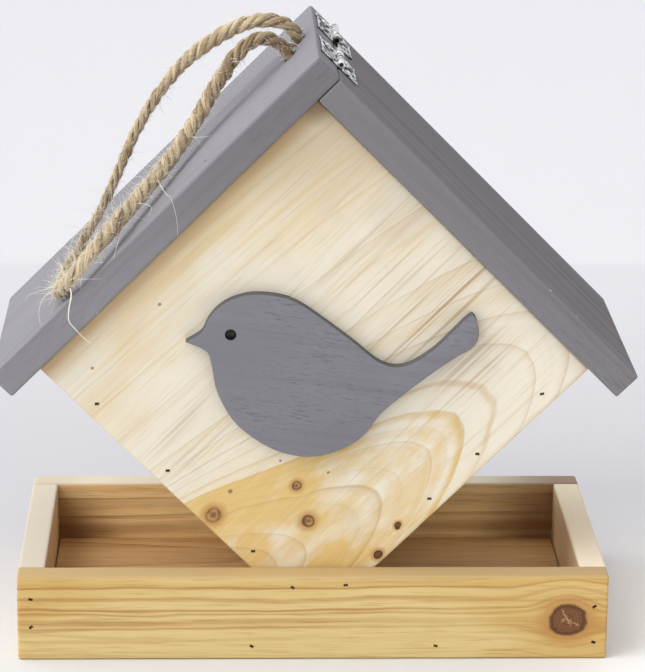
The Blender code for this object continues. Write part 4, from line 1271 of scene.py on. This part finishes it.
def filled_plate(loops, thickness, ease, place, lift):
    """A flat plate from an outline and its holes, with softly eased edges. Lift is its middle's height."""
    curve = bpy.data.curves.new("plate", "CURVE")
    curve.dimensions = "2D"
    curve.fill_mode = "BOTH"
    curve.extrude = (thickness / 2 - ease) * MM
    curve.bevel_depth = ease * MM
    curve.bevel_resolution = 1
    curve.offset = -ease * MM
    for loop in loops:
        spline = curve.splines.new("POLY")
        spline.points.add(len(loop) - 1)
        for point, spot in zip(loop, spline.points):
            spot.co = (point.x * MM, point.y * MM, 0, 1)
        spline.use_cyclic_u = True
    holder = bpy.data.objects.new("plate", curve)
    scene.collection.objects.link(holder)
    graph = bpy.context.evaluated_depsgraph_get()
    mesh = bpy.data.meshes.new_from_object(holder.evaluated_get(graph), depsgraph=graph)
    bpy.data.objects.remove(holder, do_unlink=True)
    bm = bmesh.new()
    bm.from_mesh(mesh)
    bpy.data.meshes.remove(mesh)
    bmesh.ops.remove_doubles(bm, verts=bm.verts, dist=0.002 * MM)
    bmesh.ops.transform(bm, verts=bm.verts, matrix=place @ Matrix.Translation((0, 0, lift * MM)))
    return bm


def leaf_plate(place):
    """The pierced plate of one leaf."""
    outer = LEAF_EDGE[::-1] + [(a, -b) for a, b in LEAF_EDGE[1:]]
    loops = [[Vector(p) for p in outer + [(1.5, -14.5), (1.5, 14.5)]]]
    for hole in LEAF_HOLES:
        loops.append(rounded_loop(hole, 4))
        if hole is not MIDDLE_HOLE:
            loops.append(rounded_loop([(a, -b) for a, b in hole], 4))
    return filled_plate(loops, LEAF_SHEET, 0.12, place, -KNUCKLE + LEAF_SHEET / 2)


def leaf_shade_sheet(number, kind, place, body):
    """A dark sheet of painted shade in the gap under a leaf, seen through its piercings."""
    inset = 0.12
    outer = [(a - inset, b - inset) for a, b in LEAF_EDGE[::-1]]
    outer += [(a - inset, inset - b) for a, b in LEAF_EDGE[1:]]
    loops = [[Vector(p) for p in outer]]
    for along in (-NAIL_ALONG, NAIL_ALONG):
        loops.append([Vector((NAIL_OUT + NAIL_ROOM * x, along + NAIL_ROOM * y)) for x, y in around(14)])
    bm = filled_plate(loops, 0.2, 0.03, place, -KNUCKLE - 0.14)
    bmesh.ops.recalc_face_normals(bm, faces=bm.faces)
    item = new_object(f"hinge_{number}_{kind}_backing", bm, smooth=False)
    dress(item, body, materials=[PATINA_AND_SHADE])


def tube_run(bm, place, low, high, outer, inner):
    """A short tube along Y with a bore and eased rims."""
    ease = 0.14
    profile = [(inner, low), (outer - ease, low), (outer, low + ease), (outer, high - ease), (outer - ease, high)]
    profile.append((inner, high))
    rings = []
    for radius, y in profile:
        rings.append([bm.verts.new(place @ (Vector((radius * x, y, radius * z)) * MM)) for x, z in around(24)])
    join_rings(bm, rings + rings[:1], caps=False)


def hinge_leaf(number, side, centre, ranges, body):
    place = hinge_frame(side, centre)
    bm = leaf_plate(place)
    for low, high in ranges:
        tube_run(bm, place, low, high, KNUCKLE, KNUCKLE_BORE)
        # the plate's tongues roll up into the knuckles
        size = Matrix.Diagonal((1.7 * MM, (high - low - 0.3) * MM, LEAF_SHEET * MM, 1))
        spot = Matrix.Translation((0.95 * MM, (low + high) / 2 * MM, (-KNUCKLE + LEAF_SHEET / 2) * MM))
        bmesh.ops.create_cube(bm, size=1, matrix=place @ spot @ size)
    bmesh.ops.recalc_face_normals(bm, faces=bm.faces)
    # the walls of the piercings are dark, partly patina and partly painted shade, the outer edge bright
    back = place.inverted()
    turn = back.to_3x3()
    for face in bm.faces:
        spot = back @ face.calc_center_median() / MM
        inside = 1.9 < spot.x < 9.2 and abs(spot.y) < 13.7 and spot.z < -KNUCKLE + LEAF_SHEET - 0.02
        face.material_index = 1 if inside and abs((turn @ face.normal).normalized().z) < 0.6 else 0
    kind = "fixed" if side < 0 else "lid"
    item = new_object(f"hinge_{number}_{kind}_scroll", bm)
    item.data.set_sharp_from_angle(angle=math.radians(50))
    dress(item, body, f"hinge_{number}_{kind}_leaf", [NICKEL, PATINA_AND_SHADE])
    # a dark sheet of painted shade under the leaf
    leaf_shade_sheet(number, kind, place, body)


def turned(name, profile, place, material, body, node, sides=20):
    """A round piece about local Z, from (radius, height) in millimetres."""
    bm = bmesh.new()
    rings = []
    for radius, height in profile:
        rings.append([bm.verts.new(Vector((radius * x, radius * y, height)) * MM) for x, y in around(sides)])
    join_rings(bm, rings)
    bmesh.ops.recalc_face_normals(bm, faces=bm.faces)
    bmesh.ops.transform(bm, verts=bm.verts, matrix=place)
    item = new_object(name, bm)
    item.data.set_sharp_from_angle(angle=math.radians(40))
    dress(item, body, node, [material])


NAIL_PROFILE = [(0.15, 0.62), (0.6, 0.55), (1.05, 0.36), (1.3, 0.12), (1.3, 0.0), (0.6, -0.05), (0.6, -6.5)]
NAIL_PROFILE += [(0.1, -7.8)]
for number in (1, 2):
    low, high = box_of(f"hinge_{number}_fixed_leaf")
    centre = (low.y + high.y) / 2
    half = (high.y - low.y) / 2 / MM
    hinge_leaf(number, -1, centre, [(-half, -HOUSE_KNUCKLE), (HOUSE_KNUCKLE, half)], "house")
    hinge_leaf(number, 1, centre, [(-LID_KNUCKLE, LID_KNUCKLE)], "lid")
    along_y = Matrix.Rotation(math.pi / 2, 4, "X")
    core = half - 1.3
    pin_profile = [(0.5, -core), (0.75, -core + 0.2), (0.75, core - 0.2), (0.5, core)]
    pin = f"hinge_{number}_pin"
    # the pin's core is near black, painted shade in the knuckles' hollow ends
    turned(f"hinge_{number}_core", pin_profile, hinge_frame(1, centre) @ along_y, HOLLOW_SHADE, "house", pin)
    for side, kind, body in ((-1, "fixed", "house"), (1, "lid", "lid")):
        for letter, along in (("a", -NAIL_ALONG), ("b", NAIL_ALONG)):
            spot = Matrix.Translation((NAIL_OUT * MM, along * MM, (-KNUCKLE + LEAF_SHEET) * MM))
            node = f"hinge_{number}_{kind}_nail_{letter}"
            place = hinge_frame(side, centre) @ spot
            turned(node + "_dome", NAIL_PROFILE, place, NICKEL, body, node)

for name, node in frame["nodes"].items():
    if "plaque_pin" in name:
        for index in range(len(node.data.materials)):
            node.data.materials[index] = STEEL


# Stage and light
FLOOR_BACK, COVE, BACKDROP_TOP = 2.6, 0.8, 4.0  # the floor curves up into a backdrop


def stage():
    bm = bmesh.new()
    profile = [(-3.0, 0.0), (FLOOR_BACK, 0.0)]
    for i in range(1, 13):
        angle = math.pi / 2 * i / 12
        profile.append((FLOOR_BACK + COVE * math.sin(angle), COVE - COVE * math.cos(angle)))
    profile.append((FLOOR_BACK + COVE, BACKDROP_TOP))
    left, right = ([bm.verts.new((x, y, z - 0.0002)) for y, z in profile] for x in (-5, 5))
    for i in range(len(profile) - 1):
        bm.faces.new((left[i], right[i], right[i + 1], left[i + 1]))
    item = new_object("floor", bm)
    n = Nodes(bpy.data.materials.new("floor_paper"))
    space = n.object_space()
    sideways, away, _ = n.split(space)
    tone = n.mix(n.ramp(away, -0.14, 0.12), (0.76, 0.755, 0.75), (0.565, 0.56, 0.585))
    tone = n.mix(n.ramp(away, 0.15, 0.55), tone, (0.635, 0.63, 0.655))
    tone = n.mix(n.ramp(away, 0.552, 0.572), tone, (0.68, 0.675, 0.70))
    # painted light: the floor right of the tray is lightened where the feeder's shadow falls
    painted_light_beside = n.ramp(sideways, 0.06, 0.16) * n.ramp(away, 0.16, -0.02)
    tone = n.mix(painted_light_beside * 0.9, tone, (0.97, 0.95, 0.93))
    clouds = n.mix(n.noise(space, 2.0, 1.0), (0.97, 0.97, 0.97), (1.0, 1.0, 1.0))
    tone = n.mix(1.0, tone, clouds, "MULTIPLY")
    item.data.materials.append(n.finish(tone, 0.9, {"Specular IOR Level": 0.05}))


def sun_light(name, toward, strength, spread, colour=(1, 1, 1)):
    data = bpy.data.lights.new(name, "SUN")
    data.energy = strength
    data.angle = math.radians(spread)
    data.color = colour
    lamp = bpy.data.objects.new(name, data)
    lamp.location = Vector(toward) * 2
    lamp.rotation_euler = Vector(toward).to_track_quat("Z", "Y").to_euler()
    scene.collection.objects.link(lamp)


stage()
sun_light("key", (-0.60, -0.26, 0.75), 0.3 * math.pi, 38, (1.0, 0.99, 0.97))


def studio_world():
    """A wide soft box round the set: bright on the left and above, dimmer on the right."""
    n = Nodes(bpy.data.worlds.new("studio"), "Background")
    way = n.make("TexCoord", "Generated", {})
    facing = n.make("VectorMath", "Value", {0: way, 1: (-0.913, 0.08, 0.400)}, operation="DOT_PRODUCT")
    n.link(n.math("MAXIMUM", facing * 0.93 + 0.94, 0.12), n.shader.inputs["Strength"])
    n.link((0.975, 0.985, 1.0), n.shader.inputs["Color"])
    scene.world = n.owner


studio_world()
